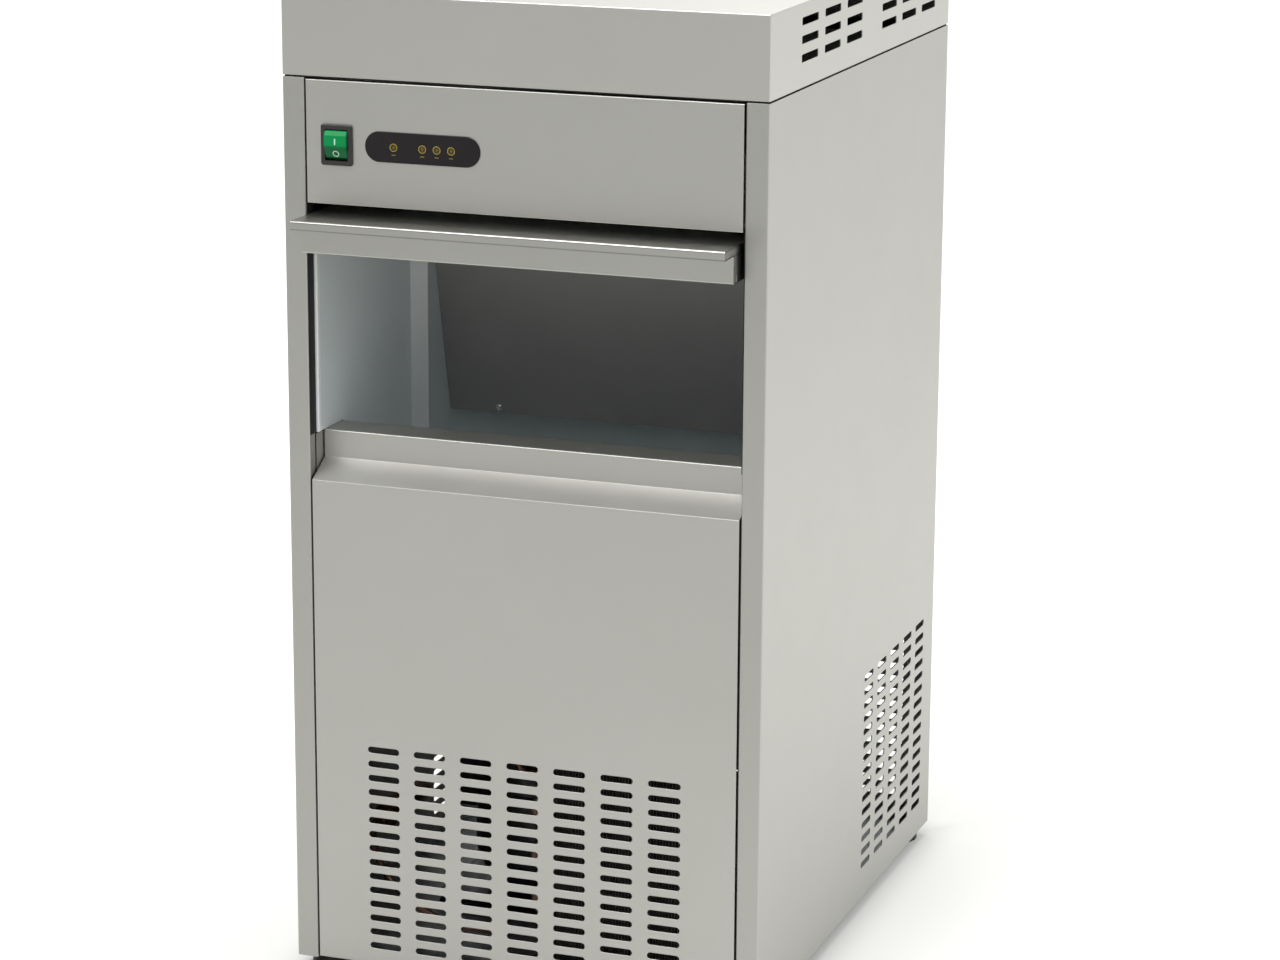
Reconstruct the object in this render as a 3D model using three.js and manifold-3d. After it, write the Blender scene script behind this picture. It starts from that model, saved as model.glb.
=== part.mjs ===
// Crushed ice maker: a free-standing cabinet with a bin in front, a sliding door above it,
// the ice machine behind the bin and the cooling circuit underneath.
// Millimetres, +X right seen from the front, +Y to the back, +Z up.
import * as THREE from 'three';
import { mergeGeometries, mergeVertices } from 'three/addons/utils/BufferGeometryUtils.js';
import Module from 'manifold-3d';

const wasm = await Module();
wasm.setup();

// Driving dimensions of the cabinet

const casingWidth = 400;
const casingHeight = 731;
const lidHeight = 65.4;
const seamHeight = 1.6;
const footHeight = 12;
const sheet = 1;
const bendRadius = 1.5;
const postWidth = 18.5;
const fit = 0.3;
const overrun = 2;
const panelGap = 1.5;
const controlPanelHeight = 97.7;
const openingHeight = 188.3;
const stripSetback = 25;
const ledgeDepth = 32.7;
const binDepth = 277;
const machineBayDepth = 172;
const binHeight = 213;
const rearReach = 18;

// Places that follow from the driving dimensions, measured from the front plane and the floor

const halfWidth = casingWidth / 2;
const casingTop = footHeight + casingHeight;
const lidBase = casingTop + seamHeight;
const lidTop = lidBase + lidHeight;
const postInner = halfWidth - postWidth;
const panelHalf = postInner - panelGap;
const sideInner = halfWidth - sheet;
const controlTop = casingTop - sheet;
const controlBase = controlTop - controlPanelHeight;
const ledgeTop = controlBase - openingHeight;
const ledgeRear = stripSetback + ledgeDepth;
const tubFront = ledgeRear + fit;
const tubRear = tubFront + binDepth;
const casingDepth = tubRear + machineBayDepth;

// Outlines: lists of [a, b] points

function circle(a, b, radius, sides) {
  const points = [];
  for (let i = 0; i < sides; i += 1) {
    const angle = (2 * Math.PI * i) / sides;
    points.push([a + radius * Math.cos(angle), b + radius * Math.sin(angle)]);
  }
  return points;
}

function rectangle(a0, a1, b0, b1) {
  return [[a0, b0], [a1, b0], [a1, b1], [a0, b1]];
}

function arcPoints(a, b, radius, from, to, steps) {
  const points = [];
  for (let i = 0; i <= steps; i += 1) {
    const angle = from + ((to - from) * i) / steps;
    points.push([a + radius * Math.cos(angle), b + radius * Math.sin(angle)]);
  }
  return points;
}

function roundedRectangle(a0, a1, b0, b1, radius, steps, lowRadius = radius) {
  const quarter = Math.PI / 2;
  return [
    ...arcPoints(a1 - radius, b1 - radius, radius, 0, quarter, steps),
    ...arcPoints(a0 + radius, b1 - radius, radius, quarter, 2 * quarter, steps),
    ...arcPoints(a0 + lowRadius, b0 + lowRadius, lowRadius, 2 * quarter, 3 * quarter, steps),
    ...arcPoints(a1 - lowRadius, b0 + lowRadius, lowRadius, 3 * quarter, 4 * quarter, steps),
  ];
}

function slotOutline(a, b, length, height, roundSteps) {
  if (roundSteps === 0) {
    return rectangle(a - length / 2, a + length / 2, b - height / 2, b + height / 2);
  }
  const reach = (length - height) / 2;
  const quarter = Math.PI / 2;
  return [
    ...arcPoints(a + reach, b, height / 2, -quarter, quarter, roundSteps),
    ...arcPoints(a - reach, b, height / 2, quarter, 3 * quarter, roundSteps),
  ];
}

function slotGrid(centres, rows, length, height, roundSteps) {
  const outlines = [];
  for (const a of centres) {
    for (const b of rows) {
      outlines.push(slotOutline(a, b, length, height, roundSteps));
    }
  }
  return outlines;
}

function series(first, pitch, count) {
  return Array.from({ length: count }, (_, i) => first + pitch * i);
}

// A folded sheet: a path along the outer face, its bends rounded, and the same path set in to the left

function bends(path, radius) {
  const steps = 3;
  const points = [path[0]];
  for (let i = 1; i < path.length - 1; i += 1) {
    const corner = new THREE.Vector2(...path[i]);
    const back = new THREE.Vector2(...path[i - 1]).sub(corner).normalize();
    const ahead = new THREE.Vector2(...path[i + 1]).sub(corner).normalize();
    const half = back.angleTo(ahead) / 2;
    const middle = back.clone().add(ahead).normalize();
    const centre = corner.clone().addScaledVector(middle, radius / Math.sin(half));
    const start = corner.clone().addScaledVector(back, radius / Math.tan(half)).sub(centre);
    const end = corner.clone().addScaledVector(ahead, radius / Math.tan(half)).sub(centre);
    const turn = Math.atan2(start.cross(end), start.dot(end));
    for (let step = 0; step <= steps; step += 1) {
      const spoke = start.clone().rotateAround(new THREE.Vector2(), (turn * step) / steps);
      points.push([centre.x + spoke.x, centre.y + spoke.y]);
    }
  }
  points.push(path[path.length - 1]);
  return points;
}

function setIn(path, distance) {
  return path.map((point, i) => {
    const here = new THREE.Vector2(...point);
    const before = i > 0 ? here.clone().sub(new THREE.Vector2(...path[i - 1])).normalize() : null;
    const after = i < path.length - 1
      ? new THREE.Vector2(...path[i + 1]).sub(here).normalize()
      : null;
    const first = before ?? after;
    const second = after ?? before;
    const normal = new THREE.Vector2(-first.y - second.y, first.x + second.x).normalize();
    const stretch = normal.dot(new THREE.Vector2(-first.y, first.x));
    return [here.x + (normal.x * distance) / stretch, here.y + (normal.y * distance) / stretch];
  });
}

function folded(path, thickness = sheet) {
  const outer = bends(path, bendRadius);
  const inner = setIn(outer, thickness).reverse();
  return [...outer, ...inner];
}

// Solids along each axis

const axisX = new THREE.Vector3(1, 0, 0);
const axisY = new THREE.Vector3(0, 1, 0);
const axisZ = new THREE.Vector3(0, 0, 1);

function extruded(outline, depth) {
  const shape = new THREE.Shape(outline.map(([a, b]) => new THREE.Vector2(a, b)));
  return new THREE.ExtrudeGeometry(shape, { depth, bevelEnabled: false });
}

function alongX(outline, low, high) {
  const geometry = extruded(outline, high - low);
  geometry.applyMatrix4(new THREE.Matrix4().makeBasis(axisY, axisZ, axisX));
  return geometry.translate(low, 0, 0);
}

function alongY(outline, low, high) {
  const geometry = extruded(outline, high - low);
  geometry.applyMatrix4(new THREE.Matrix4().makeBasis(axisX, axisZ, axisY.clone().negate()));
  return geometry.translate(0, high, 0);
}

function alongZ(outline, low, high) {
  return extruded(outline, high - low).translate(0, 0, low);
}

function block(x0, x1, y0, y1, z0, z1) {
  const geometry = new THREE.BoxGeometry(Math.abs(x1 - x0), y1 - y0, z1 - z0);
  return geometry.translate((x0 + x1) / 2, (y0 + y1) / 2, (z0 + z1) / 2);
}

// A turned piece: [radius, height] points round the Y axis, walked so that its faces point out

function turnedOnY(profile, sides) {
  let area = 0;
  profile.forEach(([r, h], i) => {
    const [nextR, nextH] = profile[(i + 1) % profile.length];
    area += r * nextH - nextR * h;
  });
  const closed = profile.some(([r]) => r === 0) ? profile : [...profile, profile[0]];
  const ordered = area < 0 ? [...closed].reverse() : closed;
  return new THREE.LatheGeometry(ordered.map(([r, h]) => new THREE.Vector2(r, h)), sides);
}

function turnedOnZ(profile, sides) {
  return turnedOnY(profile, sides).rotateX(Math.PI / 2);
}

// A tube along a smooth curve through the points, with its ends cut square

function tube(points, radius, steps, sides) {
  const curve = new THREE.CatmullRomCurve3(points.map((point) => new THREE.Vector3(...point)));
  const section = new THREE.Shape(circle(0, 0, radius, sides).map(([a, b]) => new THREE.Vector2(a, b)));
  return new THREE.ExtrudeGeometry(section, { steps, extrudePath: curve, bevelEnabled: false });
}

// Cutting and joining

function solidOf(geometry) {
  const bare = geometry.clone();
  bare.deleteAttribute('normal');
  bare.deleteAttribute('uv');
  const merged = mergeVertices(bare);
  return new wasm.Manifold(new wasm.Mesh({
    numProp: 3,
    vertProperties: merged.attributes.position.array,
    triVerts: new Uint32Array(merged.index.array),
  }));
}

function geometryOf(solid) {
  const mesh = solid.getMesh();
  const geometry = new THREE.BufferGeometry();
  geometry.setAttribute('position', new THREE.BufferAttribute(mesh.vertProperties, 3));
  geometry.setIndex(new THREE.BufferAttribute(mesh.triVerts, 1));
  geometry.computeVertexNormals();
  return geometry;
}

function cut(geometry, ...tools) {
  return geometryOf(tools.reduce((solid, tool) => solid.subtract(solidOf(tool)), solidOf(geometry)));
}

function join(geometry, ...others) {
  return geometryOf(others.reduce((solid, other) => solid.add(solidOf(other)), solidOf(geometry)));
}

function common(geometry, ...others) {
  return geometryOf(others.reduce((solid, other) => solid.intersect(solidOf(other)), solidOf(geometry)));
}

// Finishes

function finish(color, roughness, metalness) {
  return () => new THREE.MeshStandardMaterial({ color, roughness, metalness, flatShading: true });
}

const stainless = finish(0xb4b3ac, 0.4, 0.75);
const galvanised = finish(0x9fa3a6, 0.5, 0.7);
const darkSteel = finish(0x2c2d2f, 0.55, 0.5);
const copper = finish(0xb56a43, 0.35, 0.9);
const brass = finish(0xb59a55, 0.35, 0.9);
const whitePlastic = finish(0xd9dde0, 0.45, 0);
const greyPlastic = finish(0x47484a, 0.6, 0);
const blackPlastic = finish(0x1d1c1e, 0.5, 0);
const greenPlastic = finish(0x00804a, 0.3, 0);
const amberPlastic = finish(0x8a7a34, 0.3, 0);
const blackRubber = finish(0x1a1a1a, 0.9, 0);
const foam = finish(0xd8cf9f, 0.95, 0);

const machine = new THREE.Group();

function add(name, geometry, material) {
  const mesh = new THREE.Mesh(geometry, material());
  mesh.name = name;
  machine.add(mesh);
  return mesh;
}

// Side panels: a sheet folded round into the front post and a return at the rear, with air slots

const postReturn = 10;
const rearReturn = 15;
const slotRows = 15;
const slotRowPitch = 12.05;
const slotHeight = 5.5;
const sideSlotLength = 27;
const sideSlotColumns = 5;
const sideSlotPitch = 40;
const sideSlotRearMargin = 45.5;
const sideSlotRise = 30;

const sideSlotFirst = casingDepth - sideSlotRearMargin - sideSlotPitch * (sideSlotColumns - 1);
const sideSlotLow = footHeight + sideSlotRise;
const sideSlots = mergeGeometries(
  slotGrid(
    series(sideSlotFirst, sideSlotPitch, sideSlotColumns),
    series(sideSlotLow, slotRowPitch, slotRows),
    sideSlotLength,
    slotHeight,
    0,
  ).map((outline) => alongX(outline, -sheet - overrun, overrun)),
);

function sidePanel(side) {
  const path = [
    [side * postInner, postReturn],
    [side * postInner, 0],
    [side * halfWidth, 0],
    [side * halfWidth, casingDepth],
    [side * (halfWidth - rearReturn), casingDepth],
  ];
  const shell = alongZ(folded(path, side * sheet), footHeight, casingTop);
  const slots = sideSlots.clone();
  if (side < 0) {
    slots.rotateZ(Math.PI).translate(0, casingDepth + sideSlotFirst - sideSlotRearMargin, 0);
  }
  return cut(shell, slots.translate(side * halfWidth, 0, 0));
}

add('left_side_panel', sidePanel(-1), stainless);
add('right_side_panel', sidePanel(1), stainless);

// Base pan: a shallow tray that the feet screw into and that carries the cooling parts

const panThickness = 1.2;
const panWall = 15;
const footInset = 22;
const footStemRadius = 5;
const footSides = 12;

const panTop = footHeight + panThickness;
const panHalf = sideInner - fit;
const panFront = sheet + postReturn;
const rearPanelFront = casingDepth - sheet - fit - sheet;
const panRear = rearPanelFront - fit;
const footFrontY = footInset;
const footRearY = casingDepth - footInset;
const footX = halfWidth - footInset;
const footPlaces = {
  front_left: [-footX, footFrontY],
  front_right: [footX, footFrontY],
  rear_left: [-footX, footRearY],
  rear_right: [footX, footRearY],
};

const panTray = cut(
  block(-panHalf, panHalf, panFront, panRear, footHeight, panTop + panWall),
  block(
    -panHalf + panThickness,
    panHalf - panThickness,
    panFront + panThickness,
    panRear - panThickness,
    panTop,
    panTop + panWall + overrun,
  ),
);
const footHoles = Object.values(footPlaces).map(([x, y]) => alongZ(
  circle(x, y, footStemRadius + fit, footSides),
  footHeight - overrun,
  panTop + overrun,
));
add('base_pan', cut(panTray, ...footHoles), galvanised);

// Levelling feet: a moulded pad with a threaded stem up through the base pan

const footPadRadius = 17;
const footNeckRadius = 12;
const footPadRim = 4;
const footStemHeight = 20;

const footTop = footHeight - fit;
const footProfile = [
  [0, 0],
  [footPadRadius, 0],
  [footPadRadius, footPadRim],
  [footNeckRadius, footTop],
  [footStemRadius, footTop],
  [footStemRadius, footTop + footStemHeight],
  [0, footTop + footStemHeight],
];
for (const [corner, [x, y]] of Object.entries(footPlaces)) {
  const foot = add(`levelling_foot_${corner}`, turnedOnZ(footProfile, footSides), blackPlastic);
  foot.position.set(x, y, 0);
}

// Top lid: a folded tray turned upside down over the casing, with two groups of slots in each side

const lidSlotLength = 42.5;
const lidSlotHeight = 6.2;
const lidSlotRows = 3;
const lidSlotRowPitch = 14.2;
const lidSlotColumns = 3;
const lidSlotPitch = 60;
const lidSlotGroups = 2;
const lidSlotGroupPitch = 220;
const lidSlotFirst = 100;
const lidSlotRise = 22.4;

const lidEdge = bendRadius;
const lidOuter = common(
  alongX(roundedRectangle(0, casingDepth, lidBase - lidHeight, lidTop, lidEdge, 2), -halfWidth, halfWidth),
  block(-halfWidth, halfWidth, 0, casingDepth, lidBase, lidTop),
);
const lidInside = block(
  -halfWidth + sheet,
  halfWidth - sheet,
  sheet,
  casingDepth - sheet,
  lidBase - overrun,
  lidTop - sheet,
);
const lidSlotColumnsY = series(0, lidSlotGroupPitch, lidSlotGroups).flatMap(
  (shift) => series(lidSlotFirst + shift, lidSlotPitch, lidSlotColumns),
);
const lidSlots = mergeGeometries(
  slotGrid(
    lidSlotColumnsY,
    series(lidBase + lidSlotRise, lidSlotRowPitch, lidSlotRows),
    lidSlotLength,
    lidSlotHeight,
    2,
  ).map((outline) => alongX(outline, -halfWidth - overrun, halfWidth + overrun)),
);
add('top_lid', cut(lidOuter, lidInside, lidSlots), stainless);

// Lid seal: a black strip all round between the casing and the lid, a little behind their faces

const lidSealInset = 1.6;
const lidSealWidth = 10;

add('lid_seal', cut(
  block(
    -halfWidth + lidSealInset,
    halfWidth - lidSealInset,
    lidSealInset,
    casingDepth - lidSealInset,
    casingTop + fit,
    lidBase - fit,
  ),
  block(
    -halfWidth + lidSealInset + lidSealWidth,
    halfWidth - lidSealInset - lidSealWidth,
    lidSealInset + lidSealWidth,
    casingDepth - lidSealInset - lidSealWidth,
    casingTop - overrun,
    lidBase + overrun,
  ),
), blackRubber);

// Rocker switch: its body in the control panel, and the rocker that turns on two pins inside it

const switchSideMargin = 46.2;
const switchDrop = 50.5;
const bezelWidth = 26.4;
const bezelHeight = 32;
const bezelThickness = 2.2;
const switchBodyWidth = 22;
const switchBodyHeight = 28.4;
const switchBodyDepth = 26;
const switchWell = 14;
const rockerWidth = 19;
const rockerEnd = 11.8;
const rockerClear = 1;
const rockerCrown = 6.5;
const rockerShoulder = 4.6;
const rockerShoulderZ = 9;
const rockerEdge = 1.8;
const rockerBack = 3;
const rockerTilt = 11.8;
const rockerPivotDepth = 1.5;
const rockerPinRadius = 1.5;
const rockerPinReach = 0.8;

const switchX = -halfWidth + switchSideMargin;
const switchZ = controlTop - switchDrop;
const wellHalfWidth = rockerWidth / 2 + fit;
const rockerPinHalf = rockerWidth / 2 + rockerPinReach;
const switchBody = join(
  block(
    switchX - bezelWidth / 2,
    switchX + bezelWidth / 2,
    -bezelThickness,
    -fit / 2,
    switchZ - bezelHeight / 2,
    switchZ + bezelHeight / 2,
  ),
  block(
    switchX - switchBodyWidth / 2,
    switchX + switchBodyWidth / 2,
    -bezelThickness,
    switchBodyDepth,
    switchZ - switchBodyHeight / 2,
    switchZ + switchBodyHeight / 2,
  ),
);
add('switch_housing', cut(
  switchBody,
  block(
    switchX - wellHalfWidth,
    switchX + wellHalfWidth,
    -bezelThickness - overrun,
    switchWell,
    switchZ - rockerEnd - rockerClear,
    switchZ + rockerEnd + rockerClear,
  ),
  alongX(
    circle(rockerPivotDepth, switchZ, rockerPinRadius + fit, 12),
    switchX - rockerPinHalf - fit,
    switchX + rockerPinHalf + fit,
  ),
), blackPlastic);

const rockerOutline = [
  [-rockerCrown, 0],
  [-rockerShoulder, rockerShoulderZ],
  [-rockerEdge, rockerEnd],
  [rockerBack, rockerEnd],
  [rockerBack, -rockerEnd],
  [-rockerEdge, -rockerEnd],
  [-rockerShoulder, -rockerShoulderZ],
];
const rocker = add('switch_rocker', join(
  alongX(rockerOutline, -rockerWidth / 2, rockerWidth / 2),
  alongX(circle(0, 0, rockerPinRadius, 12), -rockerPinHalf, rockerPinHalf),
), greenPlastic);
rocker.position.set(switchX, rockerPivotDepth, switchZ);
rocker.rotation.x = THREE.MathUtils.degToRad(rockerTilt);

// Indicator window: a thin black pill on the control panel with a hole for each lamp

const windowSideMargin = 118.5;
const windowDrop = 49.7;
const windowLength = 96.6;
const windowHeight = 24;
const windowThickness = 0.8;
const windowGap = 0.1;
const lampRadius = 2.2;
const lampPlaceShares = [-0.25, 0, 0.125, 0.25];
const lampProud = 0.5;
const lampLength = 11;
const lampSides = 12;

const windowX = -halfWidth + windowSideMargin;
const windowZ = controlTop - windowDrop;
const lampPlaces = lampPlaceShares.map((share) => windowX + share * windowLength);
const windowFront = -windowThickness - windowGap;
const lampHoles = lampPlaces.map((x) => alongY(
  circle(x, windowZ, lampRadius + fit, lampSides),
  windowFront - overrun,
  sheet + overrun,
));
add('indicator_window', cut(
  alongY(slotOutline(windowX, windowZ, windowLength, windowHeight, 10), windowFront, -windowGap),
  ...lampHoles,
), blackPlastic);

// Indicator lamps: four small lenses that reach from the control board through the window

const lampFront = windowFront - lampProud;
const lampRear = lampFront + lampLength;
lampPlaces.forEach((x, i) => {
  const lamp = alongY(circle(0, 0, lampRadius, lampSides), lampFront, lampRear);
  add(`indicator_lamp_${i + 1}`, lamp, amberPlastic).position.set(x, 0, windowZ);
});

// Control panel: a plate with a flange at top and bottom, cut for the switch and the lamps

const controlTopFlange = 12;
const controlBaseFlange = 15;

const controlPath = [
  [controlTopFlange, controlTop],
  [0, controlTop],
  [0, controlBase],
  [controlBaseFlange, controlBase],
];
add('control_panel', cut(
  alongX(folded(controlPath), -panelHalf, panelHalf),
  block(
    switchX - switchBodyWidth / 2 - fit,
    switchX + switchBodyWidth / 2 + fit,
    -overrun,
    sheet + overrun,
    switchZ - switchBodyHeight / 2 - fit,
    switchZ + switchBodyHeight / 2 + fit,
  ),
  ...lampHoles,
), stainless);

// Control board: a printed board on four pillars behind the lamps

const boardThickness = 1.6;
const boardMargin = 10;
const boardPillarRadius = 2.5;
const boardPillarInset = 5;

const boardFront = lampRear + fit;
const boardX0 = windowX - windowLength / 2;
const boardX1 = windowX + windowLength / 2;
const boardZ0 = windowZ - windowHeight / 2 - boardMargin;
const boardZ1 = windowZ + windowHeight / 2 + boardMargin;
const boardPillars = [boardX0 + boardPillarInset, boardX1 - boardPillarInset].flatMap(
  (x) => [boardZ0 + boardPillarInset, boardZ1 - boardPillarInset].map((z) => alongY(
    circle(x, z, boardPillarRadius, 8),
    sheet + fit,
    boardFront + boardThickness / 2,
  )),
);
add('control_board', join(
  block(boardX0, boardX1, boardFront, boardFront + boardThickness, boardZ0, boardZ1),
  ...boardPillars,
), finish(0x1f5a36, 0.6, 0));

// Lower front panel: ledge, recessed strip, slope and face in one folded sheet, with the air slots

const stripHeight = 22.5;
const slopeHeight = 13.8;
const lowerPanelRise = 1;
const lowerPanelReturn = 9;
const frontSlotLength = 27.3;
const frontSlotColumns = 7;
const frontSlotPitch = 40.2;
const frontSlotRise = 17.4;

const stripBase = ledgeTop - stripHeight;
const slopeBase = stripBase - slopeHeight;
const lowerPanelBase = footHeight + lowerPanelRise;
const lowerPath = [
  [ledgeRear, ledgeTop],
  [stripSetback, ledgeTop],
  [stripSetback, stripBase],
  [0, slopeBase],
  [0, lowerPanelBase],
  [lowerPanelReturn, lowerPanelBase],
];
const frontSlots = mergeGeometries(
  slotGrid(
    series((-frontSlotPitch * (frontSlotColumns - 1)) / 2, frontSlotPitch, frontSlotColumns),
    series(footHeight + frontSlotRise, slotRowPitch, slotRows),
    frontSlotLength,
    slotHeight,
    2,
  ).map((outline) => alongY(outline, -overrun, sheet + overrun)),
);
add('lower_front_panel', cut(
  alongX(folded(lowerPath), -panelHalf, panelHalf),
  frontSlots,
), stainless);

// Bin liner: a moulded tub, open at the top and open to the front above the ledge

const linerWall = 2;
const linerFront = 12;
const linerCorner = 40;
const linerFrontCorner = 6;
const linerFloorRound = 25;
const linerRibFront = 195;
const linerRibWidth = 33;
const linerRibDepth = 1;
const linerRibDrop = 30;
const doorDrop = 107;
const doorThickness = 29;
const wingDrop = 3;
const wingGap = 9.5;
const doorFront = 16;
const pinSetback = 162.5;
const doorTail = 14;

const linerOuter = postInner;
const linerInner = linerOuter - linerWall;
const binFloor = ledgeTop - binHeight;
const tubFloor = binFloor - linerWall;
const linerRim = controlBase;
const doorTop = casingTop - doorDrop;
const doorBase = doorTop - doorThickness;
const wingTop = doorBase - wingDrop;
const wingBase = ledgeTop + fit;
const pinY = pinSetback - doorFront;
const doorRear = pinY + doorTail;
const wingRear = doorRear + wingGap;

const tubOuter = common(
  block(-linerOuter, linerOuter, tubFront, tubRear, tubFloor, linerRim),
  alongX(
    roundedRectangle(tubFront, tubRear, tubFloor, linerRim + tubRear, linerFloorRound + linerWall, 4),
    -linerOuter,
    linerOuter,
  ),
  alongZ(
    roundedRectangle(
      -linerOuter,
      linerOuter,
      tubFront,
      tubRear,
      linerCorner + linerWall,
      4,
      linerFrontCorner + linerWall,
    ),
    tubFloor,
    linerRim,
  ),
);
const tubWings = join(
  block(-linerOuter, linerOuter, linerFront, tubRear - linerCorner - linerWall, wingBase, wingTop),
  tubOuter,
);
const tubInside = common(
  alongX(
    roundedRectangle(
      tubFront + linerWall,
      tubRear - linerWall,
      binFloor,
      linerRim + tubRear,
      linerFloorRound,
      4,
    ),
    -linerInner,
    linerInner,
  ),
  alongZ(
    roundedRectangle(
      -linerInner,
      linerInner,
      tubFront + linerWall,
      tubRear - linerWall,
      linerCorner,
      4,
      linerFrontCorner,
    ),
    binFloor,
    linerRim + overrun,
  ),
);
const tubMouth = block(
  -linerInner,
  linerInner,
  linerFront - overrun,
  tubFront + linerWall + linerFrontCorner + fit,
  ledgeTop,
  linerRim + overrun,
);
const tubTopNotch = block(
  -linerOuter - overrun,
  linerOuter + overrun,
  linerFront - overrun,
  wingRear,
  wingTop,
  linerRim + overrun,
);
const ribs = [-1, 1].map((side) => block(
  side * linerInner - (side > 0 ? linerRibDepth : fit),
  side * linerInner + (side > 0 ? fit : linerRibDepth),
  linerRibFront,
  linerRibFront + linerRibWidth,
  binFloor + linerFloorRound,
  linerRim - linerRibDrop,
));

// Ice chute: a square duct from the evaporator head through the back of the bin

const evaporatorSideMargin = 119.5;
const evaporatorGap = 29;
const barrelRadius = 48;
const chuteHalfWidth = 35;
const chuteDrop = 4;
const chuteHeight = 55;
const chuteWall = 2;
const chuteReach = 45;

const evaporatorX = linerInner - evaporatorSideMargin;
const evaporatorDepth = tubRear + evaporatorGap + barrelRadius;
const chuteTop = linerRim - chuteDrop;
const chuteBase = chuteTop - chuteHeight;
const chuteRear = evaporatorDepth - barrelRadius - fit;
const chuteFront = tubRear - chuteReach;
const chuteHole = block(
  evaporatorX - chuteHalfWidth - fit,
  evaporatorX + chuteHalfWidth + fit,
  chuteFront,
  chuteRear,
  chuteBase - fit,
  chuteTop + fit,
);
add('ice_chute', cut(
  block(
    evaporatorX - chuteHalfWidth,
    evaporatorX + chuteHalfWidth,
    chuteFront,
    chuteRear,
    chuteBase,
    chuteTop,
  ),
  block(
    evaporatorX - chuteHalfWidth + chuteWall,
    evaporatorX + chuteHalfWidth - chuteWall,
    chuteFront - overrun,
    chuteRear + overrun,
    chuteBase + chuteWall,
    chuteTop - chuteWall,
  ),
), whitePlastic);

// Bin drain: a flanged fitting in the floor of the bin

const drainSideMargin = 49.5;
const drainRearMargin = 50;
const drainStemRadius = 11;
const drainBoreRadius = 8;
const drainFlangeRadius = 20;
const drainFlangeThickness = 2;
const drainStemLength = 42;
const drainSides = 12;

const drainX = -linerInner + drainSideMargin;
const drainY = tubRear - drainRearMargin;
const drainLow = binFloor - drainStemLength;
const drainHole = alongZ(
  circle(drainX, drainY, drainStemRadius + fit, drainSides),
  drainLow,
  binFloor + overrun,
);
const drainFitting = add('drain_fitting', turnedOnZ([
  [drainBoreRadius, -drainStemLength],
  [drainStemRadius, -drainStemLength],
  [drainStemRadius, fit],
  [drainFlangeRadius, fit],
  [drainFlangeRadius, fit + drainFlangeThickness],
  [drainBoreRadius, fit + drainFlangeThickness],
], drainSides), whitePlastic);
drainFitting.position.set(drainX, drainY, binFloor);

add('bin_liner', join(
  cut(tubWings, tubInside, tubMouth, tubTopNotch, chuteHole, drainHole),
  ...ribs,
), whitePlastic);

// Insulation: foam poured round the tub on every side but the top

const foamFloorThickness = 20;
const foamRearThickness = 14;
const foamHeadroom = 5;
const trackHalfHeight = 11;

const foamHalf = sideInner - fit;
const foamBase = tubFloor - fit - foamFloorThickness;
const foamRear = tubRear + fit + foamRearThickness;
const pinZ = doorBase + doorThickness / 2;
const foamTop = pinZ - trackHalfHeight - fit;
const foamFrontFace = setIn(bends(lowerPath.slice(0, 5), bendRadius), sheet + fit);
const foamFrontTop = foamFrontFace[0][1];
const foamFrontOutline = [
  [tubFront - fit, foamFrontTop],
  ...foamFrontFace.slice(1, -1),
  [sheet + fit, foamBase],
  [tubFront - fit, foamBase],
];
add('bin_insulation', cut(
  join(
    alongX(foamFrontOutline, -panelHalf, panelHalf),
    block(-foamHalf, foamHalf, stripSetback + sheet + fit, foamRear, foamBase, foamFrontTop),
    block(-foamHalf, foamHalf, stripSetback + sheet + fit, foamRear, foamFrontTop - foamHeadroom, foamTop),
    block(-foamHalf, foamHalf, tubRear + fit, foamRear, foamBase, linerRim - foamHeadroom),
  ),
  block(-linerOuter - fit, linerOuter + fit, tubFront - fit, tubRear + fit, tubFloor - fit, linerRim),
  block(
    -linerOuter - fit,
    linerOuter + fit,
    linerFront - overrun,
    tubRear + fit,
    foamFrontTop,
    linerRim,
  ),
  chuteHole,
  drainHole,
), foam);

// Bin ceiling: a plate over the tub, behind the flange of the control panel

const ceilingThickness = 3;

const ceilingBase = linerRim + fit;
const ceilingTop = ceilingBase + ceilingThickness;
add('bin_ceiling', block(
  -linerOuter,
  linerOuter,
  controlBaseFlange + fit,
  tubRear,
  ceilingBase,
  ceilingTop,
), whitePlastic);

// Ice deflector: a dark plate that leans back from the ceiling and turns the ice down into the bin

const deflectorThickness = 2;
const deflectorTopSetback = 102;
const deflectorBottomSetback = 49;
const deflectorDrop = 228;
const deflectorFlange = 16;

const deflectorTop = linerRim;
const deflectorPath = [
  [tubRear - deflectorTopSetback + deflectorFlange, deflectorTop],
  [tubRear - deflectorTopSetback, deflectorTop],
  [tubRear - deflectorBottomSetback, deflectorTop - deflectorDrop],
];
add('ice_deflector', alongX(
  folded(deflectorPath, deflectorThickness),
  -linerInner + fit,
  linerInner - fit,
), greyPlastic);

// Ice level probe: a bulb in a clip under the ceiling, in front of the deflector

const probeSideMargin = 59.5;
const probeRadius = 5;
const probeLength = 60;
const probeClip = 8;

const probeX = linerInner - probeSideMargin;
const probeY = (doorRear + tubRear - deflectorTopSetback) / 2;
add('ice_level_probe', join(
  alongZ(circle(probeX, probeY, probeRadius, 10), ceilingBase - fit - probeLength, ceilingBase - fit),
  block(
    probeX - probeClip,
    probeX + probeClip,
    probeY - probeClip,
    probeY + probeClip,
    ceilingBase - fit - ceilingThickness,
    ceilingBase - fit,
  ),
), copper);

// Door: pushed back under the control panel, where it lies flat. Its stainless skin is folded
// into a lip in front, closed at both ends, and turns to the front when the door is drawn out
// and let down.

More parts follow.
